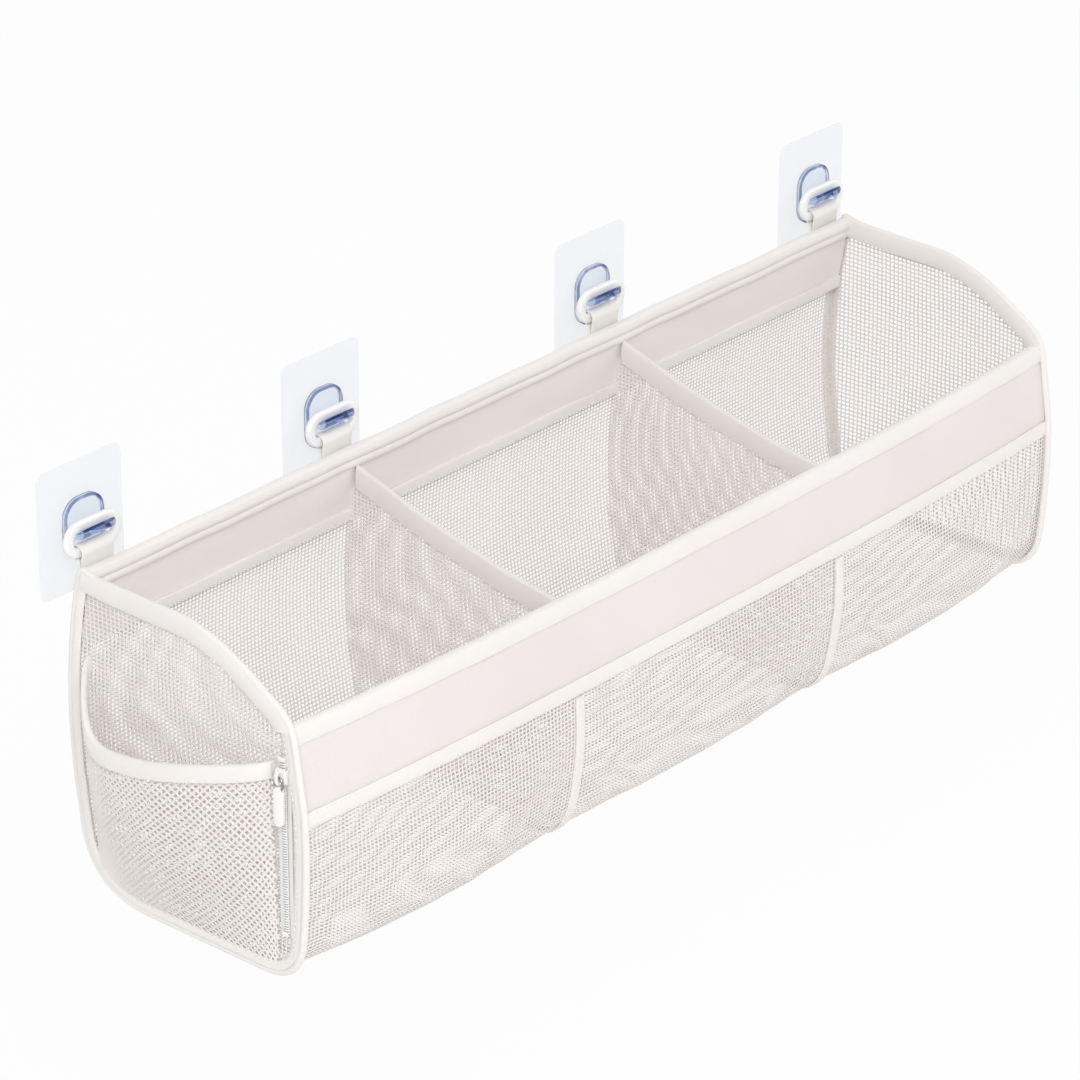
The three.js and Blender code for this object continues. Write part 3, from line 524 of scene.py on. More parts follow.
THREAD = YarnFinish(
    name="sewing_thread",
    slot="binding_tape",
    color=(0.90, 0.88, 0.85),
    drift=(0.80, 0.77, 0.73),
    roughness=0.55,
    sheen=0.3,
)
WHITE_PLASTIC = HardFinish(
    name="white_moulding",
    slot="white_plastic",
    color=(0.93, 0.93, 0.925),
    drift=(0.89, 0.89, 0.88),
    worn=(0.95, 0.95, 0.945),
    roughness=0.38,
)
BOARD = HardFinish(
    name="stiff_board",
    slot="stiffener_board",
    color=(0.79, 0.76, 0.70),
    drift=(0.73, 0.70, 0.64),
    worn=(0.83, 0.8, 0.75),
    roughness=0.8,
)
PLATED = HardFinish(
    name="plated_metal",
    slot="zip_metal",
    color=(0.34, 0.32, 0.315),
    drift=(0.27, 0.25, 0.25),
    worn=(0.55, 0.53, 0.52),
    roughness=0.24,
    metallic=1.0,
    grain=1200.0,
    depth=0.01,
)
ENAMEL = HardFinish(
    name="white_enamel",
    slot="zip_metal",
    color=(0.90, 0.885, 0.87),
    drift=(0.86, 0.845, 0.83),
    worn=(0.66, 0.65, 0.64),
    roughness=0.3,
    grain=900.0,
    depth=0.02,
    coat=0.3,
)
CLEAR = ClearFinish(
    name="clear_hook",
    slot="clear_plastic",
    color=(0.97, 0.985, 1.0),
    drift=(0.94, 0.965, 1.0),
    # Dark blue of the painted refraction at slanting faces and rims
    edge=(0.10, 0.14, 0.34),
    roughness=0.04,
    transmission=1.0,
    ior=1.1,
    deep=(0.46, 0.62, 0.82),
    density=46.0,
)
FILM = ClearFinish(
    name="clear_film",
    slot="clear_film",
    color=(0.86, 0.89, 0.93),
    drift=(0.82, 0.86, 0.91),
    # Pale blue of the painted refraction at slanting faces and rims
    edge=(0.70, 0.76, 0.85),
    roughness=0.32,
    transmission=0.0,
    alpha=0.16,
)


# Lines and outlines

BEZIER_STEPS = 120
CORNER_CUT = 0.25
RIPPLE_WAVES = ((0.55, 1.0, 0.7), (0.3, 0.43, 2.1), (0.25, 1.71, 4.0))


def run_length(points: Array) -> Array:
    """Distance along a line of points, at each point."""
    return np.concatenate([[0.0], np.cumsum(np.linalg.norm(np.diff(points, axis=0), axis=1))])


def read_along(at: Array, far: Array, values: Array) -> Array:
    """Values at distances along a line, read between those at the distances far."""
    return np.stack([np.interp(at, far, column) for column in values.T], 1)


def spaced(points: Array, steps: int) -> Array:
    """A line of points set at even distances."""
    far = run_length(points)
    return read_along(np.linspace(0, far[-1], steps + 1), far, points)


def chained(steps: int, *runs: Array) -> Array:
    """Curves that follow on from each other, as one line of even steps."""
    return spaced(np.vstack([*(run[:-1] for run in runs), runs[-1][-1:]]), steps)


def bezier(*controls: Pair, steps: int = BEZIER_STEPS) -> Array:
    """Draws a Bezier curve.

    Args:
        controls: Any number of control points.
        steps: Number of steps along the curve.

    Returns:
        The curve's points.
    """
    share = np.linspace(0, 1, steps + 1)[:, None]
    level = [np.array([control], float) for control in controls]
    while len(level) > 1:
        level = [a * (1 - share) + b * share for a, b in zip(level, level[1:])]
    return level[0]


def unit(vectors: Array) -> Array:
    """Vectors at length one."""
    return vectors / np.linalg.norm(vectors, axis=-1, keepdims=True)


def eased(points: Array, rounds: int) -> Array:
    """Cuts the corners of an open line round.

    Args:
        points: Points of the line.
        rounds: How often each corner is cut.

    Returns:
        The points of the rounder line, with the same ends.
    """
    for _ in range(rounds):
        cut = np.empty((2 * len(points) - 2, points.shape[1]))
        cut[0::2] = (1 - CORNER_CUT) * points[:-1] + CORNER_CUT * points[1:]
        cut[1::2] = CORNER_CUT * points[:-1] + (1 - CORNER_CUT) * points[1:]
        points = np.vstack([points[:1], cut, points[-1:]])
    return points


def rounded_box(width: float, height: float, corner: float, steps: int) -> Array:
    """Draws a rectangle with round corners about its middle.

    Args:
        width: Its size along the first axis.
        height: Its size along the second axis.
        corner: Radius of its corners.
        steps: Number of steps round a corner.

    Returns:
        The closed outline.
    """
    outline = []
    for number, signs in enumerate(((1, 1), (-1, 1), (-1, -1), (1, -1))):
        turn = np.linspace(0, math.pi / 2, steps + 1) + number * math.pi / 2
        middle = np.array(signs) * np.array([width / 2 - corner, height / 2 - corner])
        outline.append(middle + corner * np.stack([np.cos(turn), np.sin(turn)], 1))
    return np.vstack(outline)


def round_section(radius: float, sides: int) -> Array:
    """Closed outline of a round bar."""
    turn = np.linspace(0, math.tau, sides, endpoint=False)
    return radius * np.stack([np.cos(turn), np.sin(turn)], 1)


def ripple(at: Array, wave: float, depth: float) -> Array:
    """A soft uneven wave with no plain repeat."""
    turn = math.tau * at / wave
    return depth * sum(share * np.sin(pace * turn + start) for share, pace, start in RIPPLE_WAVES)


def at_x(x: float, path: Array) -> Array:
    """Points at x of a line in Y and Z."""
    return np.column_stack([np.full(len(path), x), path])


def square_to(path: Array) -> Array:
    """Directions square to a line in Y and Z and to X."""
    return np.cross(ALONG, at_x(0.0, unit(np.gradient(path, axis=0))))


def grid_of(x: Array, y: Array, z: Array) -> Array:
    """A grid of points from coordinates whose shapes fit together."""
    return np.stack(np.broadcast_arrays(x, y, z), -1)


def spans(outline: Array, axis: int, at: float) -> Pair | None:
    """Finds where a straight line enters and leaves a closed outline.

    Args:
        outline: The closed outline, as pairs.
        axis: Axis on which the line has a fixed place.
        at: That place.

    Returns:
        The two places along the other axis, or None where the line misses.
    """
    ahead = np.roll(outline, -1, 0)
    hit = (outline[:, axis] - at) * (ahead[:, axis] - at) < 0
    if hit.sum() < 2:
        return None
    start = outline[hit]
    end = ahead[hit]
    share = (at - start[:, axis]) / (end[:, axis] - start[:, axis])
    other = start[:, 1 - axis] + share * (end[:, 1 - axis] - start[:, 1 - axis])
    return other.min(), other.max()


# Mesh parts


@dataclass
class Patch:
    """Points, faces and cloth coordinates of a mesh, in millimetres."""

    points: Array
    faces: list[list[int]]
    cloth: Array

    def moved(self, x: float, y: float, z: float) -> "Patch":
        """The patch shifted to a place."""
        return Patch(self.points + np.array([x, y, z]), self.faces, self.cloth)


def joined(*patches: Patch) -> Patch:
    """Puts several patches together.

    Args:
        patches: The patches.

    Returns:
        One patch with all their points and faces.
    """
    faces = []
    first = 0
    for patch in patches:
        faces += [[first + i for i in face] for face in patch.faces]
        first += len(patch.points)
    points = np.vstack([patch.points for patch in patches])
    return Patch(points, faces, np.vstack([patch.cloth for patch in patches]))


def grid_faces(rows: int, columns: int, first: int = 0, closed: bool = False) -> list[list[int]]:
    """Lists the quads of a grid of points stored row by row.

    Args:
        rows: Number of rows.
        columns: Number of points in a row.
        first: Number of the first point.
        closed: Whether each row runs round to its start.

    Returns:
        The quads as lists of point numbers.
    """
    start = np.arange(rows - 1)[:, None] * columns
    step = np.arange(columns if closed else columns - 1)[None, :]
    a = start + step
    b = start + (step + 1) % columns
    return (first + np.stack([a, b, b + columns, a + columns], -1).reshape(-1, 4)).tolist()


def ring_faces(rows: int, columns: int, closed: bool = False) -> list[list[int]]:
    """Lists the faces of a stack of rings.

    Args:
        rows: Number of rings.
        columns: Number of points in a ring.
        closed: Whether the last ring joins the first; if not, both ends are capped.

    Returns:
        The faces as lists of point numbers.
    """
    if closed:
        count = rows * columns
        return [[i % count for i in face] for face in grid_faces(rows + 1, columns, closed=True)]
    last = (rows - 1) * columns
    caps = [list(range(columns))[::-1], list(range(last, last + columns))]
    return grid_faces(rows, columns, closed=True) + caps


def cloth_grid(down: Array, across: Array) -> Array:
    """Cloth coordinates of a grid, from one of its lines each way."""
    return np.stack(np.meshgrid(run_length(down), run_length(across), indexing="ij"), -1).reshape(-1, 2)


def loft(path: Array, across: Array, down: Array, section: Array, closed: bool = False) -> Patch:
    """Carries a closed section along a path.

    Args:
        path: Points of the path.
        across: Direction of the section's first axis, at each point or for all.
        down: Direction of its second axis, likewise.
        section: Closed outline, as pairs along the two axes.
        closed: Whether the path runs round to its start.

    Returns:
        The patch, capped at both ends unless it is closed.
    """
    across = np.broadcast_to(across, path.shape)
    down = np.broadcast_to(down, path.shape)
    rings = path[:, None] + section[None, :, :1] * across[:, None] + section[None, :, 1:] * down[:, None]
    faces = ring_faces(len(path), len(section), closed)
    return Patch(rings.reshape(-1, 3), faces, cloth_grid(path, section))


def tube(path: Array, radius: float, plane: Array, sides: int, closed: bool = False) -> Patch:
    """Bends a round bar along a path.

    Args:
        path: Points of the path.
        radius: Radius of the bar.
        plane: Direction that the path's bends lie square to.
        sides: Number of sides of the bar.
        closed: Whether the path runs round to its start.

    Returns:
        The bar as a patch.
    """
    ahead = np.gradient(path, axis=0)
    if closed:
        ahead = np.roll(path, -1, 0) - np.roll(path, 1, 0)
    return loft(path, unit(np.cross(ahead, plane)), plane, round_section(radius, sides), closed)


def thick_sheet(grid: Array, thickness: float) -> Patch:
    """Makes cloth of some thickness whose middle lies on a grid of points.

    Args:
        grid: The grid of points.
        thickness: Thickness of the cloth.

    Returns:
        The closed patch.
    """
    rows, columns = grid.shape[:2]
    count = rows * columns
    out = unit(np.cross(np.gradient(grid, axis=0), np.gradient(grid, axis=1))) * thickness / 2
    points = np.concatenate([(grid + out).reshape(-1, 3), (grid - out).reshape(-1, 3)])
    front = grid_faces(rows, columns)
    back = [[count + i for i in face[::-1]] for face in front]
    number = np.arange(count).reshape(rows, columns)
    rim = np.concatenate([number[:-1, 0], number[-1, :-1], number[:0:-1, -1], number[0, :0:-1]])
    ahead = np.roll(rim, -1)
    edge = np.stack([rim, count + rim, count + ahead, ahead], 1).tolist()
    cloth = cloth_grid(grid[:, 0], grid[0])
    return Patch(points, front + back + edge, np.vstack([cloth, cloth]))


def strands(lines: list[Strand], width: float, rise: float) -> Patch:
    """Makes the strands of a net, each a ribbon with a raised middle.

    Args:
        lines: For each strand its points, its outward directions and its cloth coordinates.
        width: Width of a strand.
        rise: How far its middle stands up.

    Returns:
        The strands as one patch.
    """
    ribbons = []
    for line, out, where in lines:
        side = unit(np.cross(np.gradient(line, axis=0), out)) * width / 2
        points = np.stack([line - side, line + out * rise, line + side], 1)
        beside = unit(np.gradient(where, axis=0))[:, ::-1] * np.array([1, -1]) * width / 2
        cloth = np.stack([where - beside, where, where + beside], 1)
        ribbons.append(Patch(points.reshape(-1, 3), grid_faces(*points.shape[:2]), cloth.reshape(-1, 2)))
    return joined(*ribbons)


@dataclass(frozen=True)
class Stitch:
    """Pitch and size of the stitches of a seam."""

    pitch: float
    length: float
    width: float
    height: float


SEAM = Stitch(pitch=3.6, length=2.7, width=0.75, height=0.4)
BOX_SEAM = Stitch(pitch=3.0, length=2.2, width=0.7, height=0.35)
STITCH_FACES = ((0, 2, 4), (2, 1, 4), (1, 3, 4), (3, 0, 4), (2, 0, 5), (1, 2, 5), (3, 1, 5), (0, 3, 5))


def stitches(line: Array, out: Array, stitch: Stitch = SEAM) -> Patch:
    """Sews one line of thread.

    Args:
        line: Points of the seam on the cloth.
        out: Outward direction, at each point or for all.
        stitch: The stitches' sizes.

    Returns:
        The stitches as one patch.
    """
    far = run_length(line)
    at = np.arange(stitch.pitch / 2, far[-1], stitch.pitch)
    middle = read_along(at, far, line)
    up = unit(read_along(at, far, np.broadcast_to(out, line.shape)))
    ahead = unit(read_along(at, far, np.gradient(line, axis=0)))
    side = unit(np.cross(ahead, up))
    tips = [
        middle - ahead * stitch.length / 2,
        middle + ahead * stitch.length / 2,
        middle - side * stitch.width / 2,
        middle + side * stitch.width / 2,
        middle + up * stitch.height,
        middle - up * stitch.height / 2,
    ]
    points = np.stack(tips, 1).reshape(-1, 3)
    starts = range(0, len(points), len(tips))
    faces = [[first + i for i in face] for first in starts for face in STITCH_FACES]
    return Patch(points, faces, points[:, :2])


@dataclass(frozen=True)
class RoundedPlate:
    """A plate with round corners, whose rim is a row of rings.

    Each ring says how far it is set in from the outline and how far out it lies.
    """

    width: float
    height: float
    corner: float
    rim: tuple[Pair, ...] = ()
    steps: int = 8
    waist: float = 0.0

    def outline(self, inset: float = 0.0) -> Array:
        """Draws the plate's outline.

        Args:
            inset: How far it is set in.

        Returns:
            The closed outline, drawn in at the waist.
        """
        line = rounded_box(self.width - 2 * inset, self.height - 2 * inset, self.corner - inset, self.steps)
        line[:, 0] *= 1 - self.waist * np.cos(math.pi * line[:, 1] / self.height) ** 2
        return line

    def solid(self, across: Array, out: Array) -> Patch:
        """Makes the upright plate.

        Args:
            across: Direction of its width.
            out: Direction out of its face.

        Returns:
            The closed patch about the origin.
        """
        rings = []
        for inset, far in self.rim:
            ring = self.outline(inset)
            rings.append(ring[:, :1] * across + ring[:, 1:] * UP + far * out)
        points = np.vstack(rings)
        faces = ring_faces(len(rings), len(rings[0]))
        return Patch(points, faces, np.stack([points @ across, points @ UP], 1))


# Pieces

MOULDED_SHARP = 40.0


def new_mesh(name: str, patch: Patch, closed: bool) -> Mesh:
    """Makes a patch's mesh in metres.

    Args:
        name: The mesh's name.
        patch: Its points and faces in millimetres.
        closed: Whether its faces close round solids, and are turned to look out of them.

    Returns:
        The new mesh.
    """
    mesh = bpy.data.meshes.new(name)
    mesh.from_pydata((patch.points * MM).tolist(), [], patch.faces)
    if closed:
        shell = bmesh.new()
        shell.from_mesh(mesh)
        bmesh.ops.recalc_face_normals(shell, faces=shell.faces)
        shell.to_mesh(mesh)
        shell.free()
    return mesh


def smooth(mesh: Mesh, sharp: float) -> None:
    """Shades a mesh smooth, apart from edges sharper than some degrees."""
    mesh.polygons.foreach_set("use_smooth", np.ones(len(mesh.polygons), bool))
    mesh.set_sharp_from_angle(angle=math.radians(sharp))


def show(
    patch: Patch,
    name: str,
    finish: Finish,
    node: str | None = None,
    body: Body = Body.BASKET,
    sharp: float = 50.0,
    net: bool = False,
) -> Object:
    """Makes a patch into a piece of the object.

    Args:
        patch: The mesh in millimetres.
        name: The piece's name.
        finish: What it is made of.
        node: CAD node that it stands for, if any.
        body: CAD body that it rides on.
        sharp: Edges sharper than this many degrees stay sharp.
        net: Whether it is an open net, whose cloth coordinates are kept as its unwrapped map.

    Returns:
        The new object.
    """
    mesh = new_mesh(name, patch, not net)
    used = np.empty(len(mesh.loops), np.int32)
    mesh.loops.foreach_get("vertex_index", used)
    cloth = patch.cloth * MM
    if net:
        cloth = (cloth - cloth.min(0)) / (cloth.max(0) - cloth.min(0))
    layer = mesh.uv_layers.new(name=NET_MAP if net else CLOTH_MAP)
    layer.data.foreach_set("uv", cloth[used].astype(np.float32).ravel())
    smooth(mesh, sharp)
    mesh.materials.append(finish.material())
    piece = bpy.data.objects.new(name, mesh)
    bpy.context.scene.collection.objects.link(piece)
    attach(piece, body.value)
    if node:
        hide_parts(node)
    LOG.info("%s: %d faces on %s", name, len(mesh.polygons), body.value)
    return piece


def combine(piece: Object, other: Patch, change: Change) -> None:
    """Joins a solid to a piece or cuts it away, and keeps the result as the piece's mesh.

    Args:
        piece: The piece to change.
        other: The second solid, as a closed patch.
        change: What the solid does to the piece.
    """
    tool = bpy.data.objects.new("tool", new_mesh("tool", other, True))
    bpy.context.scene.collection.objects.link(tool)
    step = piece.modifiers.new("combine", "BOOLEAN")
    step.operation = change.value
    step.object = tool
    step.solver = "EXACT"
    bpy.context.view_layer.update()
    made = bpy.data.meshes.new_from_object(piece.evaluated_get(bpy.context.evaluated_depsgraph_get()))
    piece.modifiers.clear()
    bpy.data.objects.remove(tool)
    made.name = piece.name
    smooth(made, MOULDED_SHARP)
    piece.data = made


# Sewn parts

TAPE_THICK = 1.1
TAPE_CURVE = 0.6
FOLD_ROOM = 0.3


@dataclass(frozen=True)
class Binding:
    """A tape or a hem folded over an edge, whose sewn wings swell in ridges.

    The seams lie between the ridges and above the lower edge of each wing. Half the room inside the fold
    is inside, the cloth that the fold takes is spare, and the points without stitches at each end are unsewn.
    """

    name: str
    node: str
    rests_on: str
    inside: float
    wing: float
    puff: float
    seam_out: float
    seam_up: float
    spare: float = 4.0
    wall: float = 1.0
    ridges: int = 1
    unsewn: int = 0
    kind: str = "tape"
    finish: ClothFinish = TAPE
    swell_steps: int = 6
    swell_curve: float = 0.7
    crest_steps: int = 10
    crest_rise: float = 1.7
    hollow_top: float = 0.2

    def section(self) -> Array:
        """Draws the fold from its end.

        Returns:
            The closed outline, as pairs across and down.
        """
        reach = self.inside + self.wall
        down = np.linspace(self.wing, 0, self.swell_steps * self.ridges + 1)
        swell = self.puff * np.abs(np.sin(math.pi * self.ridges * down / self.wing)) ** self.swell_curve
        right = np.stack([reach + swell, down], 1)
        turn = np.linspace(0, math.pi, self.crest_steps + 1)[1:-1]
        crest = np.stack([reach * np.cos(turn), -min(reach, self.crest_rise) * np.sin(turn)], 1)
        left = right[::-1] * np.array([-1, 1])
        drops = (self.wing, self.hollow_top, self.hollow_top, self.wing)
        hollow = np.stack([self.inside * np.array([-1, -1, 1, 1]), drops], 1)
        return np.vstack([right, crest, left, hollow])

    def build(self, edge: Array, across: Array, down: Array, length: float) -> None:
        """Args:
            edge: Points of the edge that it is folded over.
            across: Direction through the edge, at each point or for all.
            down: Direction in which the wings hang, likewise.
            length: Length of the flat tape; not used.
        """
        across = np.broadcast_to(across, edge.shape)
        tape = loft(edge, across, down, self.section())
        piece = show(tape, f"{self.name}_{self.kind}", self.finish, self.node)
        drops = [self.wing * ridge / self.ridges for ridge in range(1, self.ridges)]
        drops.append(self.wing - self.seam_up)
        sewn = slice(self.unsewn, len(edge) - self.unsewn)
        seams = []
        for sign in (-1, 1):
            for drop in drops:
                line = edge + sign * (self.inside + self.seam_out) * across + drop * down
                seams.append(stitches(line[sewn], sign * across[sewn]))
        show(joined(*seams), f"{self.name}_stitches", THREAD)


def sew_tape(name: str, node: str, grid: Array, seams: list[Patch]) -> None:
    """Builds a flat tape over a seam, about the grid of its middle, and its stitched lines."""
    show(thick_sheet(grid, TAPE_THICK), f"{name}_tape", TAPE, node)
    show(joined(*seams), f"{name}_stitches", THREAD)


# The basket's form


@dataclass(frozen=True)
class Crease:
    """A soft fold of the wrap, between two places given by x and by the share of its run."""

    start: Pair
    end: Pair
    width: float
    height: float


@dataclass(frozen=True)
class BasketForm:
    """Side view of the basket and how far its cloth stands out."""

    end_x: float = 350.0
    sewn_x: float = 346.9
    tucked_x: float = 348.4
    divider_xs: Pair = (-125.0, 120.0)
    back_top: Pair = (-18.0, 201.0)
    back_bow: Pair = (1.0, 123.0)
    back_foot: Pair = (-12.0, 45.0)
    back_corner: Pair = (-14.0, -1.0)
    bottom_back: Pair = (-62.0, -1.0)
    bottom_front: Pair = (-154.0, -1.0)
    front_corner: Pair = (-180.0, -1.0)
    front_foot: Pair = (-182.0, 26.0)
    front_belly: Pair = (-186.5, 70.0)
    front_waist: Pair = (-184.5, 106.0)
    front_top: Pair = (-177.0, 155.0)
    top_corner: Pair = (-176.0, 163.0)
    slope_front: Pair = (-168.0, 168.0)
    slope_bend_front: Pair = (-140.0, 186.0)
    slope_bend_back: Pair = (-118.0, 199.0)
    slope_back: Pair = (-88.0, 199.0)
    top_bend: Pair = (-53.0, 199.0)
    foot_z: float = 60.0
    panel_half: float = 1.9
    rim_sag: float = 3.0
    band_low: float = 101.0
    band_mesh_top: float = 100.5
    back_low: float = 156.0
    back_mesh_top: float = 155.5
    band_bulge_curve: int = 3
    band_bulge_low: float = 9.0
    band_bulge_rim: float = 5.0
    front_swell: float = 7.0
    bottom_sag: float = 6.0
    back_swell: float = 1.5
    divider_hold: float = 0.45
    front_span: Pair = (0.68, 0.975)
    bottom_span: Pair = (0.38, 0.78)
    back_span: Pair = (0.03, 0.4)
    band_pull: float = 0.66
    fold_wave: float = 61.0
    fold_depth: float = 0.35
    fold_slant: float = 0.4
    gather_wave: float = 19.0
    gather_depth: float = 0.55
    gather_reach: float = 16.0
    gather_edge: float = 4.0
    crease_fade: float = 0.8
    trough_share: float = 0.6
    trough_away: float = 1.5
    lower_steps: int = 1200
    top_steps: int = 240
    wrap_steps: int = 900
    creases: tuple[Crease, ...] = (
        Crease((-214.0, 0.74), (-150.0, 0.93), 11.0, 1.5),
        Crease((-186.0, 0.75), (-134.0, 0.90), 8.0, 1.2),
        Crease((-316.0, 0.76), (-338.0, 0.92), 10.0, 1.1),
        Crease((-100.0, 0.90), (-46.0, 0.76), 10.0, 1.1),
        Crease((44.0, 0.75), (112.0, 0.92), 10.0, 1.4),
        Crease((78.0, 0.76), (116.0, 0.86), 7.0, 1.0),
        Crease((146.0, 0.90), (196.0, 0.76), 9.0, 1.1),
        Crease((280.0, 0.75), (336.0, 0.90), 12.0, 1.4),
        Crease((-240.0, 0.42), (-170.0, 0.58), 14.0, 1.0),
        Crease((30.0, 0.45), (90.0, 0.60), 14.0, 1.0),
    )

    @cached_property
    def lower(self) -> Array:
        """Edge of an end in Y and Z, from the top of the back round the bottom to the top of the front."""
        return chained(
            self.lower_steps,
            bezier(self.back_top, self.back_bow, self.back_foot),
            bezier(self.back_foot, self.back_corner, self.bottom_back),
            bezier(self.bottom_back, self.bottom_front),
            bezier(self.bottom_front, self.front_corner, self.front_foot),
            bezier(self.front_foot, self.front_belly, self.front_waist),
            bezier(self.front_waist, self.front_top),
        )

    @cached_property
    def top(self) -> Array:
        """Top edge of an end in Y and Z, from the front to the back."""
        return chained(
            self.top_steps,
            bezier(self.front_top, self.top_corner, self.slope_front),
            bezier(self.slope_front, self.slope_bend_front, self.slope_bend_back, self.slope_back),
            bezier(self.slope_back, self.top_bend, self.back_top),
        )

    @cached_property
    def wrap_run(self) -> Array:
        """The part of the lower edge that the wrap covers, from the back tape to the front tape.

        Returns:
            Its points in Y and Z.
        """
        first = int(np.argmax(self.lower[:, 1] <= self.back_mesh_top))
        last = len(self.lower) - 1 - int(np.argmax(self.lower[::-1, 1] <= self.band_mesh_top))
        return spaced(self.lower[first : last + 1], self.wrap_steps)

    @cached_property
    def wrap_length(self) -> float:
        """Length of the wrap from its back tape to its front tape."""
        return float(run_length(self.wrap_run)[-1])

    def front_y(self, z: Array) -> Array:
        """Front edge of an end at a height."""
        half = self.lower[len(self.lower) // 2 :]
        return np.interp(z, half[:, 1], half[:, 0])

    def back_y(self, z: Array) -> Array:
        """Back edge of an end at a height."""
        part = self.lower[: len(self.lower) // 3][::-1]
        return np.interp(z, part[:, 1], part[:, 0])

    def floor_z(self, y: Array) -> Array:
        """Lower edge of an end at a depth."""
        low = self.lower[self.lower[:, 1] < self.foot_z][::-1]
        return np.interp(y, low[:, 0], low[:, 1])

    def band_bulge(self, x: Array) -> Array:
        """Share of the band's bulge at x."""
        return 1 - np.abs(np.clip(x / self.sewn_x, -1, 1)) ** self.band_bulge_curve

    def cell_bulge(self, x: Array) -> Array:
        """How far a compartment bulges, between the ends and the dividers that hold it in.

        Args:
            x: Places along the basket.

        Returns:
            The share of the bulge at each place.
        """
        stops = np.array([-self.sewn_x, *self.divider_xs, self.sewn_x])
        holds = np.array([0.0, self.divider_hold, self.divider_hold, 0.0])
        right = np.clip(np.searchsorted(stops, x), 1, len(stops) - 1)
        left = right - 1
        share = np.clip((x - stops[left]) / (stops[right] - stops[left]), 0, 1)
        held = holds[left] * (1 - share) + holds[right] * share
        return held + (1 - (holds[left] + holds[right]) / 2) * np.sin(math.pi * share)

    def band_face(self, x: Array, z: Array) -> Array:
        """Where the band's outer face lies.

        Args:
            x: Places along the basket.
            z: Heights.

        Returns:
            Y of the face.
        """
        rise = np.clip((z - self.band_low) / (self.front_top[1] - self.band_low), 0, 1)
        out = self.band_bulge_low * (1 - rise) + self.band_bulge_rim * rise
        return self.front_y(z) - self.band_bulge(x) * out

    def band_top(self, x: Array) -> Array:
        """Height of the band's top edge."""
        return self.front_top[1] - self.rim_sag * self.band_bulge(x)

    @staticmethod
    def hump(share: Array, span: Pair) -> Array:
        """A smooth rise and fall over a span of shares."""
        wave = np.sin(math.pi * (share - span[0]) / (span[1] - span[0]))
        return np.where((share > span[0]) & (share < span[1]), wave, 0.0)

    def wrap(self, x: Array, share: Array, lift: float = 0.0) -> tuple[Array, Array]:
        """Finds places on the wrap.

        Args:
            x: Places along the basket.
            share: Shares of the wrap's run, from the back tape (0) to the front tape (1).
            lift: How far off the wrap, outwards.

        Returns:
            The points and their outward directions, for every x with every share.
        """
        x = np.asarray(x, float)[:, None]
        share = np.asarray(share, float)[None, :]
        at = np.linspace(0, 1, len(self.wrap_run))
        y, z = (np.interp(share, at, line) for line in self.wrap_run.T)
        ahead = unit(np.gradient(self.wrap_run, axis=0))
        ahead_y, ahead_z = (np.interp(share, at, line) for line in ahead.T)
        pull = np.clip((share - self.band_pull) / (1 - self.band_pull), 0, 1)
        swell = self.front_swell * self.hump(share, self.front_span)
        swell = swell + self.bottom_sag * self.hump(share, self.bottom_span)
        swell = swell + self.back_swell * self.hump(share, self.back_span)
        out = self.band_bulge_low * self.band_bulge(x) * pull**2 * (3 - 2 * pull)
        out = out + self.cell_bulge(x) * swell + self.folds(x, share) + lift
        points = grid_of(x, y - ahead_z * out, z + ahead_y * out)
        return points, grid_of(0 * x, -ahead_z, ahead_y)

    def folds(self, x: Array, share: Array) -> Array:
        """Height of the wrap's soft folds and of the gathers below the front tape.

        Args:
            x: Places along the basket.
            share: Shares of the wrap's run.

        Returns:
            How far the folds stand out, for every x with every share.
        """
        far = share * self.wrap_length
        left = np.clip(self.wrap_length - far, 0, None)
        soft = ripple(x + self.fold_slant * far, self.fold_wave, self.fold_depth)
        gather = np.exp(-left / self.gather_reach) * np.clip(left / self.gather_edge, 0, 1)
        height = soft * np.sin(math.pi * np.clip(share, 0, 1))
        height = height + ripple(x, self.gather_wave, self.gather_depth) * gather
        scale = np.array([1.0, self.wrap_length])
        for crease in self.creases:
            start = np.array(crease.start) * scale
            run = np.array(crease.end) * scale - start
            along = ((x - start[0]) * run[0] + (far - start[1]) * run[1]) / (run @ run)
            beside = ((x - start[0]) * run[1] - (far - start[1]) * run[0]) / np.linalg.norm(run)
            beside = beside / crease.width
            fade = np.sin(math.pi * np.clip(along, 0, 1)) ** self.crease_fade
            trough = self.trough_share * np.exp(-((beside - self.trough_away) ** 2))
            height = height + crease.height * fade * (np.exp(-(beside**2)) - trough)
        return height


@dataclass(frozen=True)
class NetSpec:
    """Pitch and strand sizes of a net."""

    warp_pitch: float = 3.0
    weft_pitch: float = 2.6
    warp_width: float = 1.2
    weft_width: float = 1.05
    rise: float = 0.28
    step: float = 5.6


FORM = BasketForm()
FINE_NET = NetSpec()
END_NET = NetSpec(warp_pitch=3.3, weft_pitch=2.9, warp_width=1.2, weft_width=1.1)
STRAND_POINTS = 3


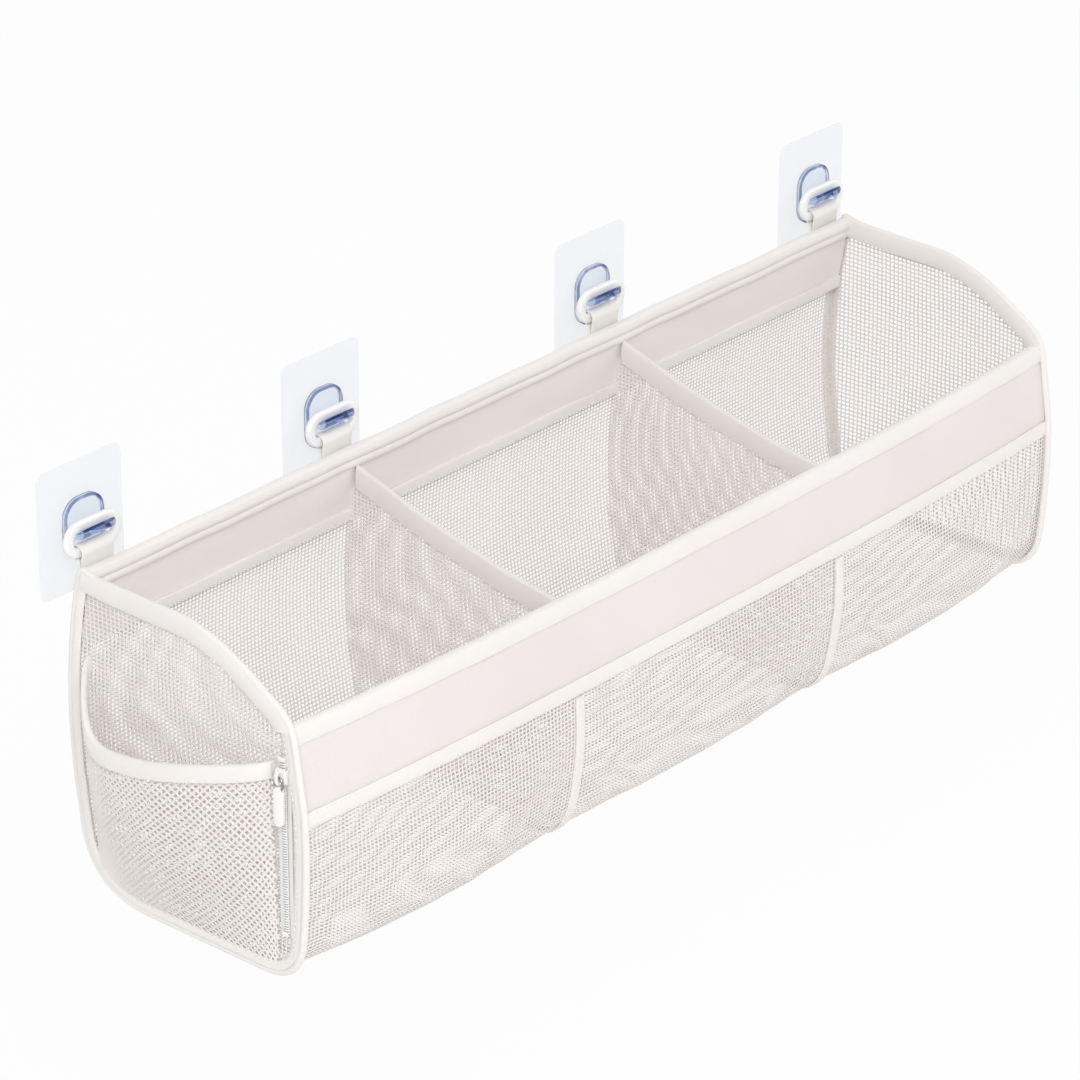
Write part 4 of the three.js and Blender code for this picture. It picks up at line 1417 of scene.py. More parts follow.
def flat_net(outline: Array, spec: NetSpec, cloth_at: Callable[[Array, Array], Array], out: Array) -> Patch:
    """Fills an outline in Y and Z with a net.

    Args:
        outline: The closed outline.
        spec: The net's sizes.
        cloth_at: Function from Y and Z to points of the cloth.
        out: Outward direction.

    Returns:
        The strands as one patch.
    """
    low = outline.min(0)
    high = outline.max(0)
    families = []
    yarns = ((spec.warp_pitch, spec.warp_width), (spec.weft_pitch, spec.weft_width))
    for axis, (pitch, width) in enumerate(yarns):
        lines = []
        for at in np.arange(low[axis] + pitch / 2, high[axis], pitch):
            ends = spans(outline, axis, at)
            if ends is None or ends[1] - ends[0] < 2 * pitch:
                continue
            run = np.linspace(*ends, max(STRAND_POINTS, round((ends[1] - ends[0]) / spec.step) + 1))
            fixed = np.full_like(run, at)
            y, z = (fixed, run) if axis == 0 else (run, fixed)
            line = cloth_at(y, z)
            lines.append((line, np.broadcast_to(out, line.shape), np.stack([y, z], 1)))
        families.append(strands(lines, width, spec.rise))
    return joined(*families)


def hang_net(name: str, net: Patch, outline: Array, rests_on: str) -> None:
    """Builds a flat net.

    Args:
        name: Name of the wall that it makes.
        net: Its strands.
        outline: Its outline in Y and Z; not used.
        rests_on: The piece that holds it; not used.
    """
    piece = show(net, f"{name}_net", NET, f"{name}_mesh", net=True)


# The basket's parts


@dataclass
class MeshWrap:
    """One net cloth for the front, the bottom and the back."""

    form: BasketForm = FORM
    spec: NetSpec = FINE_NET
    edge: float = 0.6

    def build(self) -> None:
        form = self.form
        spec = self.spec
        length = form.wrap_length
        xs = np.arange(-form.tucked_x + self.edge, form.tucked_x, spec.warp_pitch)
        runs = np.arange(self.edge, length, spec.weft_pitch)
        fine_x = np.linspace(-form.tucked_x, form.tucked_x, round(2 * form.tucked_x / spec.step))
        fine_run = np.linspace(0, length, round(length / spec.step))
        points, out = form.wrap(xs, fine_run / length)
        where = grid_of(xs[:, None], fine_run[None, :], 0.0)[..., :2]
        warp = strands(list(zip(points, out, where)), spec.warp_width, spec.rise)
        points, out = (values.swapaxes(0, 1) for values in form.wrap(fine_x, runs / length))
        where = grid_of(fine_x[None, :], runs[:, None], 0.0)[..., :2]
        weft = strands(list(zip(points, out, where)), spec.weft_width, spec.rise)
        piece = show(joined(warp, weft), "mesh_wrap_net", NET, "mesh_wrap", net=True)


@dataclass
class StiffPanel(ABC):
    """A panel of two plies over a stiffener, with a bound rim and a tape over its lower seam."""

    name: str
    seam: str
    tape_node: str
    rim: Binding
    low: float
    columns: int
    tape: Pair
    tape_swell: float
    front_swell: float
    rear_swell: float
    wave: float
    wave_slant: float
    rim_wave: float
    rim_depth: float
    rim_dip_wave: float = 113.0
    rim_dip: float = 0.0
    rear_hem: float = 0.0
    front_cloth: ClothFinish = FABRIC
    form: BasketForm = FORM
    ply: float = 0.9
    rows: int = 14
    tape_rows: int = 9
    tape_lift: float = 0.85
    thread_lift: float = 0.62
    rim_rise: float = 0.5

    @abstractmethod
    def front(self, x: Array, z: Array) -> Array:
        """Y of the panel's front."""

    @abstractmethod
    def top(self, x: Array) -> Array | float:
        """Height of the panel's top edge."""

    def hem_seams(self) -> list[Patch]:
        """Seams besides those of the rim and the tape: none."""
        return []

    @cached_property
    def xs(self) -> Array:
        """Places along the panel, from end to end."""
        return np.linspace(-self.form.tucked_x, self.form.tucked_x, self.columns + 1)

    def face(self, depth: float, swell: float, low: float) -> Array:
        """Lays a ply behind the panel's front.

        Args:
            depth: How far behind.
            swell: How far its middle swells to the front.
            low: Height of its lower edge.

        Returns:
            The grid of points in the middle of the ply.
        """
        x = self.xs[:, None]
        share = np.linspace(0, 1, self.rows + 1)[None, :]
        z = low + (self.top(x) - low) * share
        uneven = 1 + ripple(x + self.wave_slant * z, self.wave, 1.0)
        return grid_of(x, self.front(x, z) + depth - swell * np.sin(math.pi * share) * uneven, z)

    def build(self) -> None:
        rear_depth = 2 * self.form.panel_half - self.ply / 2
        self.cover("front", self.ply / 2, self.front_swell, self.low, self.front_cloth)
        self.cover("rear", rear_depth, self.rear_swell, self.low - self.rear_hem, FABRIC)
        self.bind_rim()
        self.sew_seam()
        self.dress_board()

    def cover(self, side: str, depth: float, swell: float, low: float, finish: ClothFinish) -> None:
        """Builds one ply.

        Args:
            side: Side of the stiffener that it covers.
            depth: How far behind the panel's front its middle lies.
            swell: How far it swells to the front.
            low: Height of its lower edge.
            finish: What it is made of.
        """
        cloth = thick_sheet(self.face(depth, swell, low), self.ply)
        piece = show(cloth, f"{self.name}_{side}_cloth", finish, f"{self.name}_{side}_ply")
        height = float(self.top(self.form.sewn_x)) - low
        f"{self.name}_stiffener"

    def bind_rim(self) -> None:
        """Builds the folded rim binding and its seams."""
        x = self.xs
        half = self.form.panel_half
        high = self.top(x)
        low = high - self.rim.wing
        edge = grid_of(x, self.front(x, high) + half, high)
        down = unit(grid_of(x, self.front(x, low) + half, low) - edge)
        across = np.cross(ALONG, down)
        edge = edge + ripple(x, self.rim_wave, self.rim_depth)[:, None] * across
        edge = edge + (ripple(x, self.rim_dip_wave, self.rim_dip)[:, None] - self.rim_rise) * down
        self.rim.build(edge, across, down, 2 * self.form.sewn_x)

    def sew_seam(self) -> None:
        """Builds the tape over the lower edge of the panel's front, and the lower seams."""
        low, high = self.tape
        share = np.linspace(0, 1, self.tape_rows)[None, :]
        x = self.xs[:, None]
        z = low + (high - low) * share
        swell = self.tape_swell * np.sin(math.pi * share) ** TAPE_CURVE
        grid = grid_of(x, self.front(x, z) - self.tape_lift - swell, z)
        seams = [stitches(grid[:, row] - self.thread_lift * INWARD, -INWARD) for row in (1, -2)]
        sew_tape(self.seam, self.tape_node, grid, seams + self.hem_seams())

    def dress_board(self) -> None:
        """Gives the hidden stiffener the look of board."""
        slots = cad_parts[f"{self.name}_stiffener"].data.materials
        slots.clear()
        slots.append(BOARD.material())


@dataclass
class FrontBand(StiffPanel):
    """The stiffened band along the front, which bulges and sags towards its middle."""

    name: str = "front_band"
    seam: str = "front_seam"
    tape_node: str = "front_lower_tape"
    rim: Binding = Binding(
        name="front_rim",
        node="front_rim_binding",
        rests_on="front_band_front_cloth",
        inside=FORM.panel_half + FOLD_ROOM,
        wing=10.0,
        puff=0.7,
        seam_out=1.25,
        seam_up=1.7,
        spare=5.0,
    )
    low: float = FORM.band_low
    columns: int = 150
    tape: Pair = (96.25, 105.75)
    tape_swell: float = 0.5
    front_swell: float = 0.5
    rear_swell: float = -0.3
    wave: float = 83.0
    wave_slant: float = 0.6
    rim_wave: float = 57.0
    rim_depth: float = 0.3

    def front(self, x: Array, z: Array) -> Array:
        """Y of the band's front."""
        return self.form.band_face(x, z)

    def top(self, x: Array) -> Array | float:
        """Height of the band's top edge, which sags."""
        return self.form.band_top(x)


@dataclass
class BackPanel(StiffPanel):
    """The taller stiffened panel along the back, with a rim of two ridges and a hemmed rear ply."""

    name: str = "back_panel"
    seam: str = "back_seam"
    tape_node: str = "back_lower_tape"
    rim: Binding = Binding(
        name="back_rim",
        node="back_rim_binding",
        rests_on="back_panel_front_cloth",
        inside=FORM.panel_half + FOLD_ROOM,
        wing=12.0,
        puff=1.1,
        seam_out=1.02,
        seam_up=0.9,
        spare=5.0,
        ridges=2,
    )
    low: float = FORM.back_low
    columns: int = 120
    tape: Pair = (152.0, 160.0)
    tape_swell: float = 0.45
    front_swell: float = 0.6
    rear_swell: float = -0.25
    wave: float = 97.0
    wave_slant: float = 0.9
    rim_wave: float = 71.0
    rim_depth: float = 0.35
    rim_dip: float = 0.4
    rear_hem: float = 3.0
    # The inner face takes the lighter copy of the fabric: painted light
    front_cloth: ClothFinish = PAINTED_LIGHT_FABRIC
    hem_thread: float = 0.1

    def front(self, x: Array, z: Array) -> Array:
        """Y of the panel's front, which is the same at every x."""
        return self.form.back_y(z) - 2 * self.form.panel_half

    def top(self, x: Array) -> Array | float:
        """Height of the panel's straight top edge."""
        return self.form.back_top[1]

    def hem_seams(self) -> list[Patch]:
        """The seam along the hem of the rear ply."""
        hem = self.face(2 * self.form.panel_half, self.rear_swell, self.low - self.rear_hem)[:, 1]
        return [stitches(hem + self.hem_thread * INWARD, INWARD)]


@dataclass
class EndPanel:
    """A net end with its arched top binding and the piping round its edge."""

    side: Side
    form: BasketForm = FORM
    spec: NetSpec = END_NET
    lower_skip: int = 6
    top_skip: int = 3
    thickness: float = 1.5
    wing: float = 11.0
    swell_out: float = 4.0
    draw_in: float = 2.0
    wave: float = 47.0
    wave_depth: float = 0.8
    wave_slant: float = 0.7
    wave_most: float = 0.3
    rim_wave: float = 43.0
    rim_depth: float = 0.25
    piping: float = 2.1
    piping_gap: float = 0.2
    piping_turn: Pair = (-35.0, 285.0)
    piping_steps: int = 17
    piping_sharp: float = 60.0
    piping_skip: int = 8
    flange: float = 5.2
    flange_thick: float = 0.9
    flange_tip: Pair = (0.4, 0.3)
    flange_roots: Pair = (-2.4, -2.0)
    seam_up: float = 1.5
    tuck: float = 12.0
    tuck_sink: float = 0.3

    @property
    def name(self) -> str:
        """Name of the end, as its CAD nodes have it."""
        return f"{self.side.name.lower()}_end"

    @property
    def out(self) -> Array:
        """Direction out of the end."""
        return self.side.value * ALONG

    @property
    def middle_x(self) -> float:
        """X of the middle of the end's cloth."""
        return self.side.value * (self.form.end_x - self.thickness / 2)

    @cached_property
    def outline(self) -> Array:
        """Closed outline of the end in Y and Z."""
        return np.vstack([self.form.lower[:: self.lower_skip], self.form.top[1 : -1 : self.top_skip]])

    def cloth_at(self, y: Array, z: Array) -> Array:
        """Lays the net: the pocket's end is drawn in a little and the other end swells out.

        Args:
            y: Depths.
            z: Heights.

        Returns:
            The points of the net.
        """
        low = self.outline.min(0)
        high = self.outline.max(0)
        dome = np.sin(math.pi * np.clip((y - low[0]) / (high[0] - low[0]), 0, 1))
        dome = dome * np.sin(math.pi * np.clip((z - low[1]) / (high[1] - low[1]), 0, 1))
        swell = self.swell_out if self.side is Side.RIGHT else -self.draw_in
        wave = ripple(y + self.wave_slant * z, self.wave, self.wave_depth) * dome
        x = self.middle_x + self.side.value * (swell * dome + np.minimum(wave, self.wave_most))
        return np.stack([x, y, z], 1)

    def build(self) -> None:
        net = flat_net(self.outline, self.spec, self.cloth_at, self.out)
        hang_net(self.name, net, self.outline, f"{self.name}_top_tape")
        self.top_binding()
        self.edge_piping()

    def top_binding(self) -> None:
        """Builds the wide folded binding over the arched top edge."""
        path = self.form.top[:: self.top_skip]
        far = run_length(path)
        edge = at_x(self.middle_x, path) + ALONG * ripple(far, self.rim_wave, self.rim_depth)[:, None]
        binding = Binding(
            name=f"{self.name}_top",
            node=f"{self.name}_top_binding",
            rests_on=f"{self.name}_net",
            inside=self.thickness / 2 + FOLD_ROOM,
            wing=self.wing,
            puff=0.8,
            seam_out=1.12,
            seam_up=1.6,
            unsewn=2,
        )
        binding.build(edge, ALONG, -square_to(path), far[-1])

    def edge_piping(self) -> None:
        """Builds the piping down the front, along the bottom and up the back, with its sewn flange."""
        top = self.form.top
        run_on = round(self.tuck / run_length(top)[1])
        lower = self.form.lower[:: self.piping_skip]
        path = eased(np.vstack([top[-run_on - 1 : -1], lower, top[1 : run_on + 1]]), 1)
        out = square_to(path)
        far = run_length(path)
        from_end = np.minimum(far, far[-1] - far) / self.tuck
        stand = (self.piping + self.piping_gap) * np.clip(from_end - self.tuck_sink, -self.tuck_sink, 1)
        edge = at_x(self.middle_x, path) + stand[:, None] * out
        turn = np.radians(np.linspace(*self.piping_turn, self.piping_steps))
        bead = self.piping * np.stack([np.cos(turn), np.sin(turn)], 1)
        face = self.thickness / 2 + self.piping_gap
        outer = face + self.flange_thick
        tip = -self.piping - self.flange
        inner_root, outer_root = self.flange_roots
        tip_face, tip_drop = self.flange_tip
        end = [face + tip_face, tip - tip_drop]
        flange = [[face, inner_root], [face, tip], end, [outer, tip], [outer, outer_root]]
        piping = loft(edge, self.out, out, np.vstack([bead, flange]))
        show(piping, f"{self.name}_edge_piping", TAPE, f"{self.name}_piping", sharp=self.piping_sharp)
        seam = edge + outer * self.out + (tip + self.seam_up) * out
        show(stitches(seam, self.out), f"{self.name}_edge_stitches", THREAD)


@dataclass
class Divider:
    """A net wall between two compartments, with a folded hem on top and a tape over its front seam."""

    number: int
    x: float
    form: BasketForm = FORM
    spec: NetSpec = FINE_NET
    thickness: float = 1.5
    hem: float = 13.0
    back_z: float = 188.0
    front_z: float = 150.0
    dip: float = 4.0
    clear: float = 3.7
    top_steps: int = 40
    seam_clear: float = 2.1
    seam_run: Pair = (0.04, 0.97)
    seam_steps: int = 60
    sway_wave: float = 83.0
    sway: float = 1.0
    sway_slant: float = 0.8
    hem_wave: float = 67.0
    hem_depth: float = 0.5
    tape_width: float = 7.0
    tape_run: Pair = (0.7, 0.985)
    tape_columns: int = 7
    tape_rows: int = 48
    tape_lift: float = 1.0
    tape_swell: float = 0.5
    thread_lift: float = 0.6

    @property
    def name(self) -> str:
        """Name of the divider, as its CAD nodes have it."""
        return f"divider_{self.number}"

    @cached_property
    def top(self) -> Array:
        """Top edge in Y and Z, from the front to the back.

        Returns:
            Its points.
        """
        form = self.form
        front_y = float(form.band_face(self.x, self.front_z)) + form.panel_half + self.clear
        back_y = float(form.back_y(self.back_z)) - form.panel_half - self.clear
        middle = ((front_y + back_y) / 2, (self.front_z + self.back_z) / 2 - 2 * self.dip)
        return bezier((front_y, self.front_z), middle, (back_y, self.back_z), steps=self.top_steps)

    @cached_property
    def outline(self) -> Array:
        """Closed outline in Y and Z."""
        seam, _ = self.form.wrap([self.x], np.linspace(*self.seam_run, self.seam_steps), -self.seam_clear)
        return np.vstack([seam[0, :, 1:], self.top])

    def cloth_at(self, y: Array, z: Array) -> Array:
        """Points of the net, which sways a little."""
        return np.stack([self.x + ripple(self.sway_slant * y + z, self.sway_wave, self.sway), y, z], 1)

    def build(self) -> None:
        net = flat_net(self.outline, self.spec, self.cloth_at, -ALONG)
        hang_net(self.name, net, self.outline, f"{self.name}_hem_cloth")
        self.top_hem()
        self.front_tape()

    def top_hem(self) -> None:
        """Builds the folded hem and its seams."""
        far = run_length(self.top)
        edge = at_x(self.x, self.top) + ALONG * ripple(far, self.hem_wave, self.hem_depth)[:, None]
        binding = Binding(
            name=f"{self.name}_hem",
            node=f"{self.name}_hem",
            rests_on=f"{self.name}_net",
            inside=self.thickness / 2 + FOLD_ROOM,
            wing=self.hem,
            puff=0.6,
            seam_out=1.0,
            seam_up=1.6,
            wall=0.9,
            kind="cloth",
            finish=HEM_FABRIC,
        )
        binding.build(edge, ALONG, -UP, far[-1])

    def front_tape(self) -> None:
        """Builds the tape over the seam on the outside of the wrap."""
        half = self.tape_width / 2
        width = np.linspace(-half, half, self.tape_columns)
        run = np.linspace(*self.tape_run, self.tape_rows)
        grid, out = self.form.wrap(self.x + width, run, self.tape_lift)
        swell = self.tape_swell * np.cos(math.pi * width / self.tape_width) ** TAPE_CURVE
        grid = grid + out * swell[:, None, None]
        seams = [stitches(grid[row] + self.thread_lift * out[row], out[row]) for row in (1, -2)]
        sew_tape(f"{self.name}_seam", f"{self.name}_front_tape", grid, seams)


@dataclass
class EndPocket:
    """The outside pocket of coarser net on the left end, with its curved binding."""

    form: BasketForm = FORM
    rim_points: tuple[Pair, ...] = (
        (-167.0, 134.0),
        (-128.0, 124.0),
        (-78.0, 113.0),
        (-40.0, 114.0),
        (-23.0, 150.0),
    )
    bulge: float = 24.0
    fullness: float = 0.8
    turn: float = 0.62 * math.pi
    stand: float = 0.9
    seam_rise: float = 4.0
    rim_lift: float = 2.0
    wing: float = 9.0
    pitch: float = 4.6
    strand: float = 1.45
    rise: float = 0.4
    step: float = 3.0
    fold_wave: float = 31.0
    fold_depth: float = 1.0
    fold_run: Pair = (90.0, 40.0)
    nudge: float = 0.01
    grid_steps: int = 60

    def rim(self, share: Array) -> Array:
        """Runs along the rim, on a smooth line through its points.

        Args:
            share: Shares of the rim's run.

        Returns:
            Y and Z at each share.
        """
        points = np.array(self.rim_points)
        last = len(points) - 1
        reach = np.clip(share, 0, 1) * last
        number = np.minimum(reach.astype(int), last - 1)
        w = (reach - number)[:, None]
        start = points[number]
        end = points[number + 1]
        leave = (end - points[np.maximum(number - 1, 0)]) / 2
        arrive = (points[np.minimum(number + 2, last)] - start) / 2
        cubic = 2 * start - 2 * end + leave + arrive
        square = -3 * start + 3 * end - 2 * leave - arrive
        return cubic * w**3 + square * w**2 + leave * w + start

    def at(self, u: Array, v: Array) -> Array:
        """Finds places on the pocket's cloth.

        Args:
            u: Shares along its rim.
            v: Shares up from its seam to its rim.

        Returns:
            The points of the cloth.
        """
        rim = self.rim(u)
        low = self.form.floor_z(rim[:, 0]) + self.seam_rise
        swell = np.sin(math.pi * np.clip(u, 0, 1)) ** self.fullness * np.sin(self.turn * v)
        run_u, run_v = self.fold_run
        fade = np.sin(math.pi * u) * np.sin(math.pi * np.clip(v, 0, 1))
        folds = ripple(run_u * u + run_v * v, self.fold_wave, self.fold_depth) * fade
        out = self.stand + self.rim_lift * v**2 + self.bulge * swell + folds
        return np.stack([-self.form.end_x - out, rim[:, 0], low + (rim[:, 1] - low) * v], 1)

    def outward(self, u: Array, v: Array) -> Array:
        """Directions out of the pocket's cloth.

        Args:
            u: Shares along its rim.
            v: Shares up from its seam to its rim.

        Returns:
            The direction at each place, away from the basket.
        """
        ahead = self.at(np.minimum(u + self.nudge, 1), v) - self.at(np.maximum(u - self.nudge, 0), v)
        upward = self.at(u, v + self.nudge) - self.at(u, v - self.nudge)
        out = unit(np.cross(upward, ahead))
        return np.where(out[:, :1] < 0, out, -out)

    def net_lines(self, wide: float, high: float) -> list[Strand]:
        """Draws the slanting strands of the net, both ways.

        Args:
            wide: Width of the flat net.
            high: Its height.

        Returns:
            For each strand its points, its outward directions and its cloth coordinates.
        """
        lines = []
        up = np.arange(0, high + self.step / 2, self.step)
        for sign in (-1, 1):
            for start in np.arange(-high, wide + high, self.pitch):
                where = np.stack([start + sign * up, up], 1)
                where = where[(where[:, 0] >= 0) & (where[:, 0] <= wide)]
                if len(where) < STRAND_POINTS:
                    continue
                u = where[:, 0] / wide
                v = np.minimum(where[:, 1] / high, 1)
                lines.append((self.at(u, v), self.outward(u, v), where))
        return lines

    def build(self) -> None:
        share = np.linspace(0, 1, self.grid_steps)
        grid = np.stack([self.at(np.full_like(share, u), share) for u in share])
        wide = float(run_length(self.rim(share))[-1])
        high = float(np.mean([run_length(column)[-1] for column in grid]))
        net = strands(self.net_lines(wide, high), self.strand, self.rise)
        piece = show(net, "pocket_net", NET, "pocket_mesh", net=True)
        self.binding()

    def binding(self) -> None:
        """Builds the folded binding along the rim."""
        u = np.linspace(0, 1, self.grid_steps + 1)
        edge = self.at(u, np.ones_like(u))
        height = edge[:, 2] - self.form.floor_z(edge[:, 1]) - self.seam_rise
        down = unit(self.at(u, 1 - self.wing / height) - edge)
        binding = Binding(
            name="pocket_rim",
            node="pocket_binding",
            rests_on="pocket_net",
            inside=1.2,
            wing=self.wing,
            puff=0.7,
            seam_out=1.35,
            seam_up=1.5,
            unsewn=1,
        )
        binding.build(edge, np.cross(down, INWARD), down, run_length(edge)[-1])


# Hooks, rings and straps

BASE_RIM = (
    *((3.4, 0.0), (1.2, 0.0), (0.4, 0.0), (0.0, 0.4), (0.0, 1.1), (0.0, 2.0)),
    *((0.0, 2.7), (0.5, 3.2), (1.6, 3.2), (2.2, 2.4), (2.9, 2.4), (3.6, 2.4)),
)


@dataclass
class HangingSet:
    """One wall hook on its film pad, with the ring on it and the webbing strap round the ring."""

    number: int
    x: float
    pad: RoundedPlate = RoundedPlate(
        width=66.0,
        height=80.0,
        corner=6.0,
        rim=((0.0, 0.0), (0.0, 0.6), (0.2, 0.8)),
    )
    pad_z: float = 221.0
    pad_sharp: float = 25.0
    base: RoundedPlate = RoundedPlate(width=31.0, height=38.0, corner=12.0, rim=BASE_RIM, steps=10)
    base_y: float = -1.1
    base_z: float = 220.0
    arm_width: float = 25.0
    arm_z: float = 219.45
    arm_root: float = 1.2
    arm_bend: float = 3.2
    arm_corner: float = 0.3
    arm_thick: tuple[float, float, float] = (3.4, 3.2, 2.5)
    arm_steps: int = 5
    bend_steps: int = 8
    lip_y: float = -14.75
    lip_z: float = 223.5
    tip_rise: Pair = (0.7, 1.0)
    tip_thick: Pair = (1.9, 0.9)
    ring: RoundedPlate = RoundedPlate(width=44.0, height=22.0, corner=10.99, steps=12)
    slot: RoundedPlate = RoundedPlate(width=31.0, height=9.0, corner=3.0, steps=12)
    ring_thick: float = 4.0
    ring_sides: int = 18
    ring_curve: float = 0.55
    ring_sharp: float = 80.0
    ring_y: float = -9.5
    ring_z: float = 217.0
    webbing: RoundedPlate = RoundedPlate(width=25.0, height=1.2, corner=0.5, steps=4)
    strap_rounds: int = 2
    strap_low: float = 180.4
    strap_join: float = 202.5
    strap_y: float = -13.16
    bar_z: float = 209.25
    loop: float = 4.3
    loop_turn: Pair = (188.0, -58.0)
    loop_steps: int = 25
    box_side: float = 3.0
    box_low: float = 2.5
    box_top: float = 3.0
    box_steps: int = 4

    def build(self) -> None:
        """Builds the set's pieces."""
        self.film_pad()
        self.clear_hook()
        self.white_ring()
        self.strap()

    def film_pad(self) -> None:
        """Builds the film that sticks to the wall."""
        film = self.pad.solid(ALONG, -INWARD).moved(self.x, 0, self.pad_z)
        node = f"adhesive_pad_{self.number}"
        show(film, f"film_pad_{self.number}", FILM, node, Body.HOOKS, self.pad_sharp)

    def clear_hook(self) -> None:
        """Builds the hook's rimmed base and its J arm as one moulding."""
        base = self.base.solid(ALONG, -INWARD).moved(self.x, self.base_y, self.base_z)
        node = f"wall_hook_{self.number}"
        hook = show(base, f"clear_hook_{self.number}", CLEAR, node, Body.HOOKS, MOULDED_SHARP)
        combine(hook, self.arm(), Change.JOIN)

    def arm(self) -> Patch:
        """Makes the J arm, from inside the base out and up to the lip.

        Returns:
            The arm as a closed patch.
        """
        bend = self.arm_bend
        turn = np.linspace(0, math.pi / 2, self.bend_steps + 1)[1:-1]
        root = np.linspace(self.base_y - self.arm_root, self.lip_y + bend, self.arm_steps)
        lip = np.linspace(self.arm_z + bend, self.lip_z, self.arm_steps + 1)
        tip = self.lip_z + np.array(self.tip_rise)
        upright = np.concatenate([lip, tip])
        path = np.vstack([
            np.stack([root, np.full_like(root, self.arm_z)], 1),
            np.stack([self.lip_y + bend - bend * np.sin(turn), self.arm_z + bend - bend * np.cos(turn)], 1),
            np.stack([np.full_like(upright, self.lip_y), upright], 1),
        ])
        thick = np.interp(np.arange(len(path)), [0, self.arm_steps, len(path) - 1], self.arm_thick)
        thick[-len(tip):] = self.tip_thick
        section = rounded_box(self.arm_width, 1.0, self.arm_corner, self.arm_steps)
        return loft(at_x(self.x, path), ALONG, square_to(path) * thick[:, None], section)

    def white_ring(self) -> None:
        """Builds the oval ring with one slot."""
        inner = self.slot.outline()
        width = self.ring.outline() - inner
        turn = np.linspace(0, math.tau, self.ring_sides, endpoint=False)
        sides = np.stack([np.cos(turn), np.sin(turn)])
        away, deep = np.sign(sides) * np.abs(sides) ** self.ring_curve
        flat = inner[:, None] + width[:, None] * ((1 - away) / 2)[None, :, None]
        y = self.ring_y + deep * self.ring_thick / 2
        points = grid_of(self.x + flat[..., 0], y, self.ring_z + flat[..., 1])
        faces = ring_faces(*points.shape[:2], closed=True)
        ring = Patch(points.reshape(-1, 3), faces, flat.reshape(-1, 2))
        node = f"hang_ring_{self.number}"
        show(ring, f"oval_ring_{self.number}", WHITE_PLASTIC, node, Body.RINGS, self.ring_sharp)

    def strap(self) -> None:
        """Builds the folded webbing strap and the stitched box on its tail."""
        ply = self.webbing.height
        front = self.strap_y + ply / 2
        rear = front + ply
        turn = np.radians(np.linspace(*self.loop_turn, self.loop_steps))
        arc = np.stack([self.ring_y + self.loop * np.cos(turn), self.bar_z + self.loop * np.sin(turn)], 1)
        up = [[front, self.strap_low], [front, self.strap_join]]
        down = [[rear, self.strap_join], [rear, self.strap_low]]
        path = eased(np.vstack([up, arc, down]), self.strap_rounds)
        strap = loft(at_x(self.x, path), ALONG, square_to(path), self.webbing.outline())
        piece = show(strap, f"webbing_strap_{self.number}", WEBBING, f"hang_strap_{self.number}")
        self.box_seam(rear + ply / 2)

    def box_seam(self, y: float) -> None:
        """Sews a box with a cross on the strap's tail.

        Args:
            y: Where the face of the tail lies.
        """
        half = self.webbing.width / 2 - self.box_side
        low = self.strap_low + self.box_low
        high = self.strap_join - self.box_top
        box = np.array([(-half, low), (half, low), (half, high), (-half, high)])
        seams = []
        for start, end in ((0, 1), (1, 2), (2, 3), (3, 0), (0, 2), (1, 3)):
            (x0, z0), (x1, z1) = box[[start, end]]
            ends = np.array([[self.x + x0, y, z0], [self.x + x1, y, z1]])
            seams.append(stitches(spaced(ends, self.box_steps), INWARD, BOX_SEAM))
        show(joined(*seams), f"strap_stitches_{self.number}", THREAD)


# The zip


